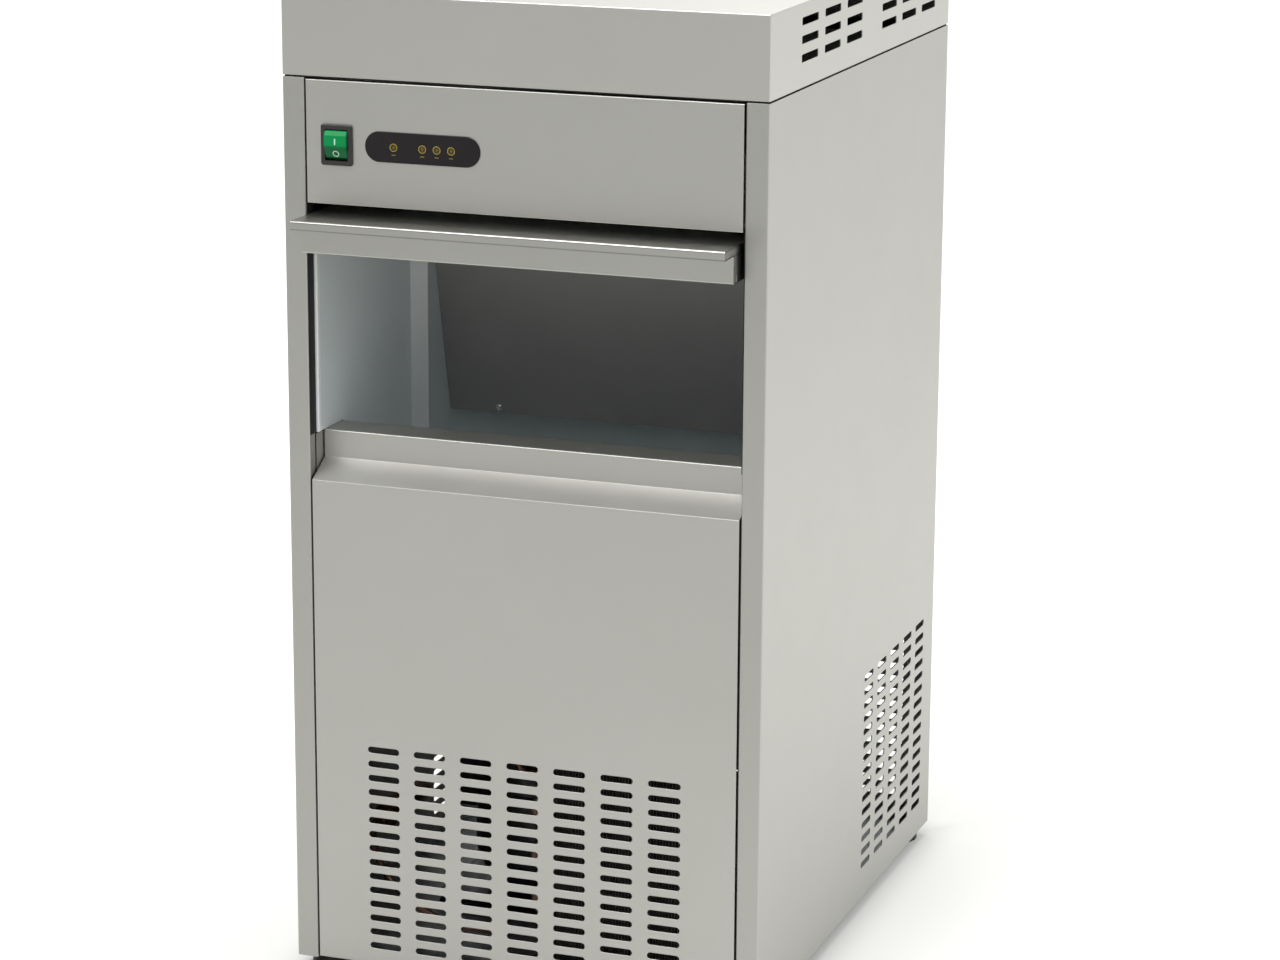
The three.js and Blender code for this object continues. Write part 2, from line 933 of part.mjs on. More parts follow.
const lipReach = 37;
const lipHeight = 5.4;
const doorFlange = 12;
const doorSideGap = 3.3;
const skinEndDepth = 30;
const coreSetIn = 3.2;
const spigotRadius = 4;
const spigotDepth = 11;
const boreDepth = 12;
const bearingPlay = 0.5;
const bearingSides = 16;
const sealThickness = 2.4;
const sealHole = 6;

const doorHalf = postInner - doorSideGap;
const coreHalf = doorHalf - coreSetIn;
const skinPath = [
  [doorRear, doorTop],
  [-lipReach, doorTop],
  [-lipReach, doorTop - lipHeight],
  [-doorFront, doorTop - lipHeight],
  [-doorFront, doorBase],
  [-doorFront + doorFlange, doorBase],
];
const skinMiddle = setIn(bends(skinPath, bendRadius), sheet / 2);
const skinEndOutline = [
  [-doorFront + skinEndDepth, doorTop - sheet / 2],
  ...skinMiddle.slice(1, -1),
  [-doorFront + skinEndDepth, doorBase + sheet / 2],
];
const skinEnds = [-1, 1].map((side) => alongX(
  skinEndOutline,
  Math.min(side * doorHalf, side * (doorHalf - sheet)),
  Math.max(side * doorHalf, side * (doorHalf - sheet)),
));
add('door_skin', join(alongX(folded(skinPath), -doorHalf, doorHalf), ...skinEnds), stainless);

const coreFront = -doorFront + sheet + fit;
const coreOutline = [
  [coreFront, doorBase + sheet + fit],
  [-doorFront + doorFlange + fit, doorBase + sheet + fit],
  [-doorFront + doorFlange + fit, doorBase],
  [doorRear, doorBase],
  [doorRear, doorTop - sheet - fit],
  [coreFront, doorTop - sheet - fit],
];
const coreBores = [-1, 1].map((side) => alongX(
  circle(pinY, pinZ, spigotRadius + bearingPlay, bearingSides),
  side > 0 ? coreHalf - boreDepth : -coreHalf - overrun,
  side > 0 ? coreHalf + overrun : -coreHalf + boreDepth,
));
add('door_core', cut(alongX(coreOutline, -coreHalf, coreHalf), ...coreBores), greyPlastic);

for (const [name, side] of [['left', -1], ['right', 1]]) {
  const near = coreHalf + fit / 2;
  const far = near + sealThickness;
  add(`door_seal_${name}`, cut(
    block(
      side * near,
      side * far,
      -doorFront + skinEndDepth + fit,
      doorRear,
      doorBase + sheet + fit,
      doorTop - sheet - fit,
    ),
    alongX(circle(pinY, pinZ, sealHole, bearingSides), -far - overrun, far + overrun),
  ), blackRubber);
}

// Sliders: a nylon block in each side track, with a spigot that the door turns on

const sliderHalfLength = 10;
const sliderHalfHeight = 6.5;
const sliderWidth = 6;
const sliderGap = 1.2;
const trackSetIn = 1.5;
const doorClosedSetback = 10;
const trackFront = 12;
const trackTail = 12;

const trackInner = postInner + trackSetIn;
const sliderNear = trackInner + sliderGap;
const sliderFar = sliderNear + sliderWidth;
const pinClosedY = doorClosedSetback + doorThickness / 2;
const grooveFront = pinClosedY - sliderHalfLength - fit;
const grooveRear = pinY + sliderHalfLength + fit;
for (const [name, side] of [['left', -1], ['right', 1]]) {
  const spigotEnd = coreHalf - spigotDepth;
  const spigot = alongX(
    circle(pinY, pinZ, spigotRadius, bearingSides),
    Math.min(side * spigotEnd, side * (sliderNear + fit)),
    Math.max(side * spigotEnd, side * (sliderNear + fit)),
  );
  add(`slider_${name}`, join(
    block(
      side * sliderNear,
      side * sliderFar,
      pinY - sliderHalfLength,
      pinY + sliderHalfLength,
      pinZ - sliderHalfHeight,
      pinZ + sliderHalfHeight,
    ),
    spigot,
  ), whitePlastic);

  // Side track: a grooved rail on the inside of the side panel
  add(`track_${name}`, cut(
    block(
      side * trackInner,
      side * (sideInner - fit),
      trackFront,
      grooveRear + trackTail,
      pinZ - trackHalfHeight,
      pinZ + trackHalfHeight,
    ),
    block(
      side * (trackInner - overrun),
      side * (sliderFar + fit),
      grooveFront,
      grooveRear,
      pinZ - sliderHalfHeight - fit,
      pinZ + sliderHalfHeight + fit,
    ),
  ), blackPlastic);
}

// Control box: an open-fronted steel tray for the electrics, on the ceiling behind the switch

const boxWidth = 150;
const boxSideMargin = 28;
const boxFront = 34;
const boxDepth = 86;
const boxHeight = 88;
const boxWall = 1.5;

const boxX0 = -halfWidth + boxSideMargin;
const boxZ0 = ceilingTop + fit;
add('control_box', cut(
  block(boxX0, boxX0 + boxWidth, boxFront, boxFront + boxDepth, boxZ0, boxZ0 + boxHeight),
  block(
    boxX0 + boxWall,
    boxX0 + boxWidth - boxWall,
    boxFront - overrun,
    boxFront + boxDepth - boxWall,
    boxZ0 + boxWall,
    boxZ0 + boxHeight - boxWall,
  ),
), galvanised);

// Gearbox stand: a shelf on two legs that carries the ice machine over the base pan

const gearboxRise = 270;
const gearboxHeight = 58;
const gearboxHalfX = 45;
const gearboxHalfY = 48;
const standHalfX = 60;
const standHalfY = 55;
const standPlate = 4;
const motorRadius = 42;
const motorLength = 118;
const motorSides = 24;

const standTop = gearboxRise - fit;
add('gear_stand', cut(
  block(
    evaporatorX - standHalfX,
    evaporatorX + standHalfX,
    evaporatorDepth - standHalfY,
    evaporatorDepth + standHalfY,
    panTop + fit,
    standTop,
  ),
  block(
    evaporatorX - standHalfX + standPlate,
    evaporatorX + standHalfX - standPlate,
    evaporatorDepth - standHalfY - overrun,
    evaporatorDepth + standHalfY + overrun,
    panTop - overrun,
    standTop - standPlate,
  ),
  alongZ(
    circle(evaporatorX, evaporatorDepth, motorRadius + fit, motorSides),
    standTop - standPlate - overrun,
    standTop + overrun,
  ),
), galvanised);

// Gear motor: hangs from the gearbox through the hole in the shelf

const motorCapRound = 8;

const gearMotor = add('gear_motor', turnedOnZ([
  [0, -motorLength],
  [motorRadius - motorCapRound, -motorLength],
  [motorRadius, -motorLength + motorCapRound],
  [motorRadius, 0],
  [0, 0],
], motorSides), darkSteel);
gearMotor.position.set(evaporatorX, evaporatorDepth, gearboxRise - fit);

// Gearbox: a cast housing with a bore for the foot of the auger

const shaftRadius = 9;
const gearboxCorner = 12;
const gearboxBoreDepth = 28;

const gearboxTop = gearboxRise + gearboxHeight;
add('gearbox', cut(
  alongZ(
    roundedRectangle(
      evaporatorX - gearboxHalfX,
      evaporatorX + gearboxHalfX,
      evaporatorDepth - gearboxHalfY,
      evaporatorDepth + gearboxHalfY,
      gearboxCorner,
      3,
    ),
    gearboxRise,
    gearboxTop,
  ),
  alongZ(
    circle(evaporatorX, evaporatorDepth, shaftRadius + bearingPlay, motorSides),
    gearboxTop - gearboxBoreDepth,
    gearboxTop + overrun,
  ),
), galvanised);

// Evaporator barrel: an insulated freezing cylinder with a window at its head for the ice

const barrelBoreRadius = 31;
const barrelEnd = 8;
const barrelSides = 20;
const journalRadius = 8;
const windowMargin = 5;

const barrelBase = gearboxTop + fit;
const barrelTop = chuteTop + windowMargin;
const barrelProfile = [
  [shaftRadius + bearingPlay, barrelBase],
  [barrelRadius, barrelBase],
  [barrelRadius, barrelTop],
  [journalRadius + bearingPlay, barrelTop],
  [journalRadius + bearingPlay, barrelTop - barrelEnd],
  [barrelBoreRadius, barrelTop - barrelEnd],
  [barrelBoreRadius, barrelBase + barrelEnd],
  [shaftRadius + bearingPlay, barrelBase + barrelEnd],
];
add('evaporator_barrel', cut(
  turnedOnZ(barrelProfile, barrelSides).translate(evaporatorX, evaporatorDepth, 0),
  block(
    evaporatorX - barrelBoreRadius + windowMargin,
    evaporatorX + barrelBoreRadius - windowMargin,
    evaporatorDepth - barrelRadius - overrun,
    evaporatorDepth,
    chuteBase + windowMargin,
    barrelTop - barrelEnd - fit,
  ),
), galvanised);

// Auger: a shaft with one helical flight that scrapes the ice up the barrel

const augerCoreRadius = 14;
const flightRadius = 29.5;
const flightThickness = 5;
const flightPitch = 48;
const flightTurns = 4.5;
const flightSteps = 8;
const augerSides = 12;
const augerEndGap = 1;

const augerFoot = gearboxTop - gearboxBoreDepth + fit;
const augerCoreBase = barrelBase + barrelEnd + augerEndGap;
const augerCoreTop = chuteBase;

function helixFlight(low) {
  const steps = Math.round(flightTurns * flightSteps);
  const corners = [];
  for (let i = 0; i <= steps; i += 1) {
    const angle = (2 * Math.PI * i) / flightSteps;
    const height = low + (flightPitch * i) / flightSteps;
    for (const [radius, rise] of [
      [augerCoreRadius / 2, 0],
      [flightRadius, 0],
      [flightRadius, flightThickness],
      [augerCoreRadius / 2, flightThickness],
    ]) {
      corners.push(radius * Math.cos(angle), radius * Math.sin(angle), height + rise);
    }
  }
  const faces = [0, 1, 2, 0, 2, 3];
  for (let i = 0; i < steps; i += 1) {
    for (let side = 0; side < 4; side += 1) {
      const a = 4 * i + side;
      const b = 4 * i + ((side + 1) % 4);
      faces.push(a, b + 4, b, a, a + 4, b + 4);
    }
  }
  const last = 4 * steps;
  faces.push(last, last + 2, last + 1, last, last + 3, last + 2);
  const geometry = new THREE.BufferGeometry();
  geometry.setAttribute('position', new THREE.Float32BufferAttribute(corners, 3));
  geometry.setIndex(faces);
  return geometry;
}

const augerBody = turnedOnZ([
  [0, augerFoot],
  [shaftRadius, augerFoot],
  [shaftRadius, augerCoreBase],
  [augerCoreRadius, augerCoreBase],
  [augerCoreRadius, augerCoreTop],
  [journalRadius, augerCoreTop + augerCoreRadius],
  [journalRadius, barrelTop - fit],
  [0, barrelTop - fit],
], augerSides);
const auger = add('auger', join(augerBody, helixFlight(augerCoreBase + augerEndGap)), stainless);
auger.position.set(evaporatorX, evaporatorDepth, 0);

// Rear panel: a flat plate inside the rear returns, with air slots and three service holes

const rearSlotLength = 67.5;
const rearSlotPitch = 80.4;
const rearSlotColumns = 4;
const rearSlotRows = 10;
const rearSlotRise = 78;
const rearPanelMargin = 2;
const fittingSides = 12;
const inletStemRadius = 6;
const inletDrop = 71;
const reservoirSideMargin = 85;
const outletSideMargin = 100;
const outletRise = 33;
const outletStemRadius = 9;
const glandSideMargin = 50;
const glandRise = 48;
const glandStemRadius = 8;

const rearPanelRear = rearPanelFront + sheet;
const reservoirX = -halfWidth + reservoirSideMargin;
const outletX = -halfWidth + outletSideMargin;
const glandX = -halfWidth + glandSideMargin;
const inletZ = casingTop - inletDrop;
const outletZ = footHeight + outletRise;
const glandZ = footHeight + glandRise;

function serviceHole(x, z, radius) {
  return alongY(circle(x, z, radius + fit, fittingSides), rearPanelFront - overrun, rearPanelRear + overrun);
}

const rearSlots = mergeGeometries(
  slotGrid(
    series((-rearSlotPitch * (rearSlotColumns - 1)) / 2, rearSlotPitch, rearSlotColumns),
    series(footHeight + rearSlotRise, slotRowPitch, rearSlotRows),
    rearSlotLength,
    slotHeight,
    0,
  ).map((outline) => alongY(outline, rearPanelFront - overrun, rearPanelRear + overrun)),
);
add('rear_panel', cut(
  block(
    -sideInner + fit,
    sideInner - fit,
    rearPanelFront,
    rearPanelRear,
    footHeight + rearPanelMargin,
    casingTop - rearPanelMargin,
  ),
  rearSlots,
  serviceHole(reservoirX, inletZ, inletStemRadius),
  serviceHole(outletX, outletZ, outletStemRadius),
  serviceHole(glandX, glandZ, glandStemRadius),
), stainless);

// Rear fittings: water inlet, drain outlet and cable gland, each a turned body through its hole

const rearEnd = casingDepth + rearReach;
const flangeThickness = 3;
const inletThreadRadius = 13;
const inletFlangeRadius = 16;
const inletBoreRadius = 3.5;
const outletFlangeRadius = 16;
const outletSpigotRadius = 10;
const outletBoreRadius = 7;
const glandNutRadius = 12;
const glandNutLength = 8;
const glandBoreRadius = 4.5;
const glandDomeRadius = 8;
const stemLength = 8;
const valveStemLength = 14;

const flangeFront = rearPanelRear + fit / 2;
function rearFitting(name, x, z, profile, material) {
  add(name, turnedOnY(profile, fittingSides), material).position.set(x, 0, z);
}

rearFitting('water_inlet_fitting', reservoirX, inletZ, [
  [inletBoreRadius, flangeFront - valveStemLength],
  [inletStemRadius, flangeFront - valveStemLength],
  [inletStemRadius, flangeFront],
  [inletFlangeRadius, flangeFront],
  [inletFlangeRadius, flangeFront + flangeThickness],
  [inletThreadRadius, flangeFront + flangeThickness],
  [inletThreadRadius, rearEnd],
  [inletBoreRadius, rearEnd],
], brass);
rearFitting('drain_outlet', outletX, outletZ, [
  [outletBoreRadius, flangeFront - stemLength],
  [outletStemRadius, flangeFront - stemLength],
  [outletStemRadius, flangeFront],
  [outletFlangeRadius, flangeFront],
  [outletFlangeRadius, flangeFront + flangeThickness],
  [outletSpigotRadius, flangeFront + flangeThickness],
  [outletSpigotRadius, rearEnd],
  [outletBoreRadius, rearEnd],
], whitePlastic);
rearFitting('cable_gland', glandX, glandZ, [
  [glandBoreRadius, flangeFront - stemLength],
  [glandStemRadius, flangeFront - stemLength],
  [glandStemRadius, flangeFront],
  [glandNutRadius, flangeFront],
  [glandNutRadius, flangeFront + glandNutLength],
  [glandDomeRadius, rearEnd],
  [glandBoreRadius, rearEnd],
], blackPlastic);

// Water reservoir: an open tank on the rear panel that feeds the evaporator

const reservoirWidth = 110;
const reservoirDepth = 100;
const reservoirHeight = 150;
const reservoirDrop = 53;
const reservoirWall = 3;

const tankRear = rearPanelFront - fit;
const tankFront = tankRear - reservoirDepth;
const tankTop = casingTop - reservoirDrop;
const tankBase = tankTop - reservoirHeight;
const tankX0 = reservoirX - reservoirWidth / 2;
const tankX1 = reservoirX + reservoirWidth / 2;
add('water_reservoir', cut(
  block(tankX0, tankX1, tankFront, tankRear, tankBase, tankTop),
  block(
    tankX0 + reservoirWall,
    tankX1 - reservoirWall,
    tankFront + reservoirWall,
    tankRear - reservoirWall,
    tankBase + reservoirWall,
    tankTop + overrun,
  ),
  alongY(
    circle(reservoirX, inletZ, inletStemRadius + fit, fittingSides),
    tankRear - reservoirWall - overrun,
    tankRear + overrun,
  ),
), whitePlastic);

// Float valve: a forked block on the inlet stem inside the tank

const valveHalf = 9;
const valveLength = 33;
const forkDepth = 12;
const forkHalf = 5;
const floatPinRadius = 2;
const floatPinSetback = 5;

const valveRear = flangeFront - valveStemLength - fit;
const valveFront = valveRear - valveLength;
const floatPinY = valveFront + floatPinSetback;
add('float_valve', cut(
  block(
    reservoirX - valveHalf,
    reservoirX + valveHalf,
    valveFront,
    valveRear,
    inletZ - valveHalf,
    inletZ + valveHalf,
  ),
  block(
    reservoirX - forkHalf,
    reservoirX + forkHalf,
    valveFront - overrun,
    valveFront + forkDepth,
    inletZ - valveHalf - overrun,
    inletZ + valveHalf + overrun,
  ),
  alongX(
    circle(floatPinY, inletZ, floatPinRadius + fit, 12),
    reservoirX - valveHalf - overrun,
    reservoirX + valveHalf + overrun,
  ),
), brass);

// Float arm: a bar on a pin in the fork, with a hollow float drawn as a solid, hanging down

const armHalfWidth = 4;
const armHalfHeight = 2.5;
const armLength = 36;
const floatRadius = 17;
const floatHeight = 24;
const floatSides = 16;
const floatHang = 25;

const floatArm = add('float_arm', join(
  alongX(circle(0, 0, floatPinRadius, 12), -valveHalf, valveHalf),
  block(-armHalfWidth, armHalfWidth, -armLength, floatPinRadius, -armHalfHeight, armHalfHeight),
  alongZ(circle(0, -armLength, floatRadius, floatSides), -armHalfHeight - floatHeight, -armHalfHeight / 2),
), whitePlastic);
floatArm.position.set(reservoirX, floatPinY, inletZ);
floatArm.rotation.x = THREE.MathUtils.degToRad(floatHang);

// Compressor on its mount: a welded steel pot on a plate with four rubber bushes

const compressorRadius = 68;
const compressorHeight = 174;
const compressorSideMargin = 77;
const compressorFrontMargin = 146;
const compressorSides = 20;
const domeShares = [[0.55, 0], [0.85, 0.05], [1, 0.18], [1, 0.78], [0.88, 0.92], [0.55, 1]];
const mountPlate = 3;
const mountOverhang = 14;
const bushRadius = 8;
const bushHeight = 8;

const compressorX = -halfWidth + compressorSideMargin + compressorRadius;
const compressorY = compressorFrontMargin + compressorRadius;
const mountTop = panTop + fit + bushHeight + mountPlate;
const mountHalfX = compressorRadius + mountOverhang;
const mountHalfY = compressorRadius;
const bushes = [-1, 1].flatMap((i) => [-1, 1].map((j) => alongZ(
  circle(
    compressorX + i * (mountHalfX - bushRadius),
    compressorY + j * (mountHalfY - bushRadius),
    bushRadius,
    12,
  ),
  panTop + fit,
  mountTop,
)));
add('compressor_mount', join(
  block(
    compressorX - mountHalfX,
    compressorX + mountHalfX,
    compressorY - mountHalfY,
    compressorY + mountHalfY,
    mountTop - mountPlate,
    mountTop,
  ),
  ...bushes,
), darkSteel);

const compressorProfile = [
  [0, 0],
  ...domeShares.map(([r, h]) => [r * compressorRadius, h * compressorHeight]),
  [0, compressorHeight],
];
const compressor = add('compressor', turnedOnZ(compressorProfile, compressorSides), darkSteel);
compressor.position.set(compressorX, compressorY, mountTop + fit);

// Condenser: a finned block behind the right half of the front slots

const condenserWidth = 180;
const condenserHeight = 180;
const condenserDepth = 40;
const condenserSideMargin = 30;
const condenserFront = 25;
const condenserFins = 15;
const finThickness = 3;
const condenserWeb = 4;

const condenserX1 = halfWidth - condenserSideMargin;
const condenserX0 = condenserX1 - condenserWidth;
const condenserBase = panTop + fit;
const condenserTop = condenserBase + condenserHeight;
const condenserRear = condenserFront + condenserDepth;
const finPitch = (condenserWidth - finThickness) / (condenserFins - 1);
const webFront = condenserFront + (condenserDepth - condenserWeb) / 2;
const webRear = webFront + condenserWeb;

function combEdge(near, far) {
  return series(condenserX0, finPitch, condenserFins).flatMap(
    (x) => [[x, near], [x, far], [x + finThickness, far], [x + finThickness, near]],
  );
}

add('condenser', alongZ([
  ...combEdge(webFront, condenserFront).slice(1, -1),
  ...combEdge(webRear, condenserRear).slice(1, -1).reverse(),
], condenserBase, condenserTop), darkSteel);

// Fan shroud: a plate with a round throat close behind the condenser

const shroudPlate = 2;
const shroudDepth = 16;
const shroudWall = 2;
const throatRadius = 78;
const throatSides = 24;

const fanX = (condenserX0 + condenserX1) / 2;
const fanZ = (condenserBase + condenserTop) / 2;
const shroudFront = condenserRear + fit;
const shroudRear = shroudFront + shroudDepth;
add('fan_shroud', cut(
  join(
    block(condenserX0, condenserX1, shroudFront, shroudFront + shroudPlate, condenserBase, condenserTop),
    alongY(circle(fanX, fanZ, throatRadius + shroudWall, throatSides), shroudFront, shroudRear),
  ),
  alongY(circle(fanX, fanZ, throatRadius, throatSides), shroudFront - overrun, shroudRear + overrun),
), darkSteel);

// Fan motor on its bracket, with the fan on its shaft inside the throat

const fanBladeRadius = 74;
const fanBladeWidth = 30;
const fanBladeThickness = 2;
const fanBlades = 5;
const fanBladeAngle = 30;
const fanHubRadius = 20;
const fanHubLength = 20;
const fanShaftRadius = 4;
const fanHubWall = 4;
const fanMotorRadius = 32;
const fanMotorLength = 46;
const fanMotorGap = 6;
const fanBracketPlate = 3;
const fanBracketHalf = 30;
const fanBracketFoot = 35;

const fanHubFront = shroudFront + shroudPlate;
const fanHubRear = fanHubFront + fanHubLength;
const fanMotorFront = fanHubRear + fanMotorGap;
const fanMotorRear = fanMotorFront + fanMotorLength;
const bladeBox = new THREE.BoxGeometry(fanBladeThickness, fanBladeWidth, fanBladeRadius - fanHubRadius / 2);
const blades = series(0, (2 * Math.PI) / fanBlades, fanBlades).map((angle) => bladeBox.clone()
  .rotateZ(THREE.MathUtils.degToRad(90 - fanBladeAngle))
  .translate(0, (fanHubFront + fanHubRear) / 2, (fanBladeRadius + fanHubRadius / 2) / 2)
  .rotateY(angle));
add('fan_blades', cut(
  join(alongY(circle(0, 0, fanHubRadius, 20), fanHubFront, fanHubRear), ...blades),
  alongY(
    circle(0, 0, fanShaftRadius + bearingPlay, bearingSides),
    fanHubFront + fanHubWall,
    fanHubRear + overrun,
  ),
), blackPlastic).position.set(fanX, 0, fanZ);

add('fan_motor', join(
  alongY(circle(0, 0, fanMotorRadius, 20), fanMotorFront, fanMotorRear),
  alongY(circle(0, 0, fanShaftRadius, bearingSides), fanHubFront + fanHubWall + fit, fanMotorFront + fit),
), darkSteel).position.set(fanX, 0, fanZ);

add('fan_bracket', join(
  block(
    fanX - fanBracketHalf,
    fanX + fanBracketHalf,
    fanMotorRear + fit,
    fanMotorRear + fit + fanBracketPlate,
    panTop + fit,
    fanZ + fanBracketHalf,
  ),
  block(
    fanX - fanBracketHalf,
    fanX + fanBracketHalf,
    fanMotorRear + fit - fanBracketFoot,
    fanMotorRear + fit + fanBracketPlate,
    panTop + fit,
    panTop + fit + fanBracketPlate,
  ),
), galvanised);

// Filter drier: a small copper can in the liquid line, low on the left

const drierRadius = 11;
const drierLength = 100;
const drierSideMargin = 35;
const drierFront = 90;
const drierEnd = 8;
const drierNeck = 5;

const drierX = -halfWidth + drierSideMargin;
const drier = add('filter_drier', turnedOnY([
  [0, 0],
  [drierNeck, 0],
  [drierRadius, drierEnd],
  [drierRadius, drierLength - drierEnd],
  [drierNeck, drierLength],
  [0, drierLength],
], 14), copper);
drier.position.set(drierX, drierFront, fanZ);

// Copper tubes of the cooling circuit, each from one piece's face to the next

const hotTubeRadius = 4;
const coldTubeRadius = 5;
const liquidTubeRadius = 3;
const tubeSteps = 16;
const tubeSides = 6;
const tubeStraight = 14;
const tubeLowZ = 40;
const tubeHighMargin = 14;
const tubeTurn = 25;
const compressorPortZ = 150;
const suctionPortZ = 600;

const compressorRight = compressorX + compressorRadius + fit;
const compressorBack = compressorY + compressorRadius + fit;
const condenserPortX = condenserX0 - fit;
const condenserMiddleY = (condenserFront + condenserRear) / 2;
const hotPortZ = condenserTop - tubeHighMargin;
const hotCrestZ = foamBase - tubeHighMargin;
add('discharge_tube', tube([
  [compressorRight, compressorY, compressorPortZ],
  [compressorRight + tubeStraight, compressorY, compressorPortZ],
  [compressorRight + tubeStraight, compressorY - tubeTurn, hotCrestZ - tubeTurn],
  [compressorRight - tubeTurn, compressorY - 3 * tubeTurn, hotCrestZ],
  [condenserPortX - tubeStraight, condenserMiddleY + 2 * tubeTurn, hotCrestZ],
  [condenserPortX - tubeStraight, condenserMiddleY + hotTubeRadius, hotPortZ + tubeStraight],
  [condenserPortX - hotTubeRadius, condenserMiddleY, hotPortZ],
  [condenserPortX, condenserMiddleY, hotPortZ],
], hotTubeRadius, tubeSteps, tubeSides), copper);

add('liquid_tube', tube([
  [condenserPortX, condenserMiddleY, tubeLowZ],
  [condenserPortX - tubeStraight, condenserMiddleY, tubeLowZ],
  [(condenserPortX + drierX) / 2, condenserMiddleY, tubeLowZ],
  [drierX + tubeTurn, condenserMiddleY + hotTubeRadius, (tubeLowZ + fanZ) / 2],
  [drierX, drierFront - tubeStraight, fanZ],
  [drierX, drierFront - fit, fanZ],
], liquidTubeRadius, tubeSteps, tubeSides), copper);

const barrelSide = evaporatorX - barrelRadius - fit;
const riserX = evaporatorX - standHalfX - 2 * tubeStraight + coldTubeRadius;
const riserY = evaporatorDepth - 2 * tubeTurn;
add('suction_tube', tube([
  [barrelSide, evaporatorDepth, suctionPortZ],
  [barrelSide - tubeStraight, evaporatorDepth, suctionPortZ],
  [riserX, riserY + tubeStraight, suctionPortZ - 2 * tubeTurn],
  [riserX, riserY, (suctionPortZ + foamBase) / 2],
  [riserX, riserY, foamBase],
  [compressorX, compressorBack + 2 * tubeStraight, compressorPortZ + tubeTurn],
  [compressorX, compressorBack + tubeStraight, compressorPortZ],
  [compressorX, compressorBack, compressorPortZ],
], coldTubeRadius, tubeSteps, tubeSides), copper);

// Water feed tube: from the floor of the tank to the foot of the evaporator barrel

const feedTubeRadius = 5;

const feedY = (tankFront + tankRear) / 2;
const feedPortZ = barrelBase + barrelEnd + 2 * feedTubeRadius;
add('water_feed_tube', tube([
  [reservoirX, feedY, tankBase - fit],
  [reservoirX, feedY, tankBase - 2 * tubeTurn],
  [reservoirX, feedY, (tankBase + feedPortZ) / 2],
  [(reservoirX + barrelSide) / 2, (feedY + evaporatorDepth) / 2, feedPortZ + feedTubeRadius],
  [barrelSide - tubeStraight, evaporatorDepth, feedPortZ],
  [barrelSide, evaporatorDepth, feedPortZ],
], feedTubeRadius, tubeSteps, tubeSides), whitePlastic);

// Drain hose: from the bin drain down the left side and out to the rear

const hoseRadius = 10;
const hoseSteps = 16;
const hoseSides = 8;

add('drain_hose', tube([
  [drainX, drainY, drainLow - fit],
  [drainX, drainY, drainLow - 2 * tubeStraight],
  [drainX, drainY + tubeTurn, (drainLow + outletZ) / 2],
  [drainX, (drainY + casingDepth) / 2, outletZ + hoseRadius],
  [outletX, flangeFront - stemLength - 2 * tubeTurn, outletZ],
  [outletX, flangeFront - stemLength - tubeStraight, outletZ],
  [outletX, flangeFront - stemLength - fit, outletZ],
], hoseRadius, hoseSteps, hoseSides), whitePlastic);

// The origin is on the floor, under the middle of the whole outline, with the door's lip counted

const part = new THREE.Group();
machine.position.y = (lipReach - rearEnd) / 2;
part.add(machine);

export default part;
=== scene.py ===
import math

import bmesh
import bpy
from mathutils import Matrix, Vector
from mathutils.geometry import delaunay_2d_cdt


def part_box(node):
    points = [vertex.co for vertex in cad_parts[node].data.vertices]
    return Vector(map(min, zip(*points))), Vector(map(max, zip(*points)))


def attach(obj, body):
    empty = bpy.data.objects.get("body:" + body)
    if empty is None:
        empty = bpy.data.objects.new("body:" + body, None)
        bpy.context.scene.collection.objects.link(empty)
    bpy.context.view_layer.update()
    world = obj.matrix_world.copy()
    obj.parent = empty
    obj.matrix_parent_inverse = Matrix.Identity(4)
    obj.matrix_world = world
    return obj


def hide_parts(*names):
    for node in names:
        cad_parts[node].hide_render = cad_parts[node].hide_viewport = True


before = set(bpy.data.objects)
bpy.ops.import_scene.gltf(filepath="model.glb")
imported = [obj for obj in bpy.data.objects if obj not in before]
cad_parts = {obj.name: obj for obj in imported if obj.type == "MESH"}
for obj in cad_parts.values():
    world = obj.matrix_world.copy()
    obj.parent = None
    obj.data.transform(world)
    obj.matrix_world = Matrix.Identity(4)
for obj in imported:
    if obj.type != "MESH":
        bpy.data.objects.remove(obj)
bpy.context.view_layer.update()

# Camera
# It stands in front of the cabinet and to its right, somewhat above the lid, with a long lens.

camera_data = bpy.data.cameras.new("camera")
camera_data.sensor_width = 36.0
camera_data.lens = 104.37
camera = bpy.data.objects.new("camera", camera_data)
camera.location = (1.0383, -2.8669, 1.1500)
camera.rotation_euler = (math.radians(75.795), math.radians(-0.315), math.radians(19.787))
bpy.context.collection.objects.link(camera)
bpy.context.scene.camera = camera

# Base pan
# A tray of galvanised steel with an upright rim, pressed from one blank. It stands on the four
# feet and carries the cooling parts; its edges are broken by a small radius.


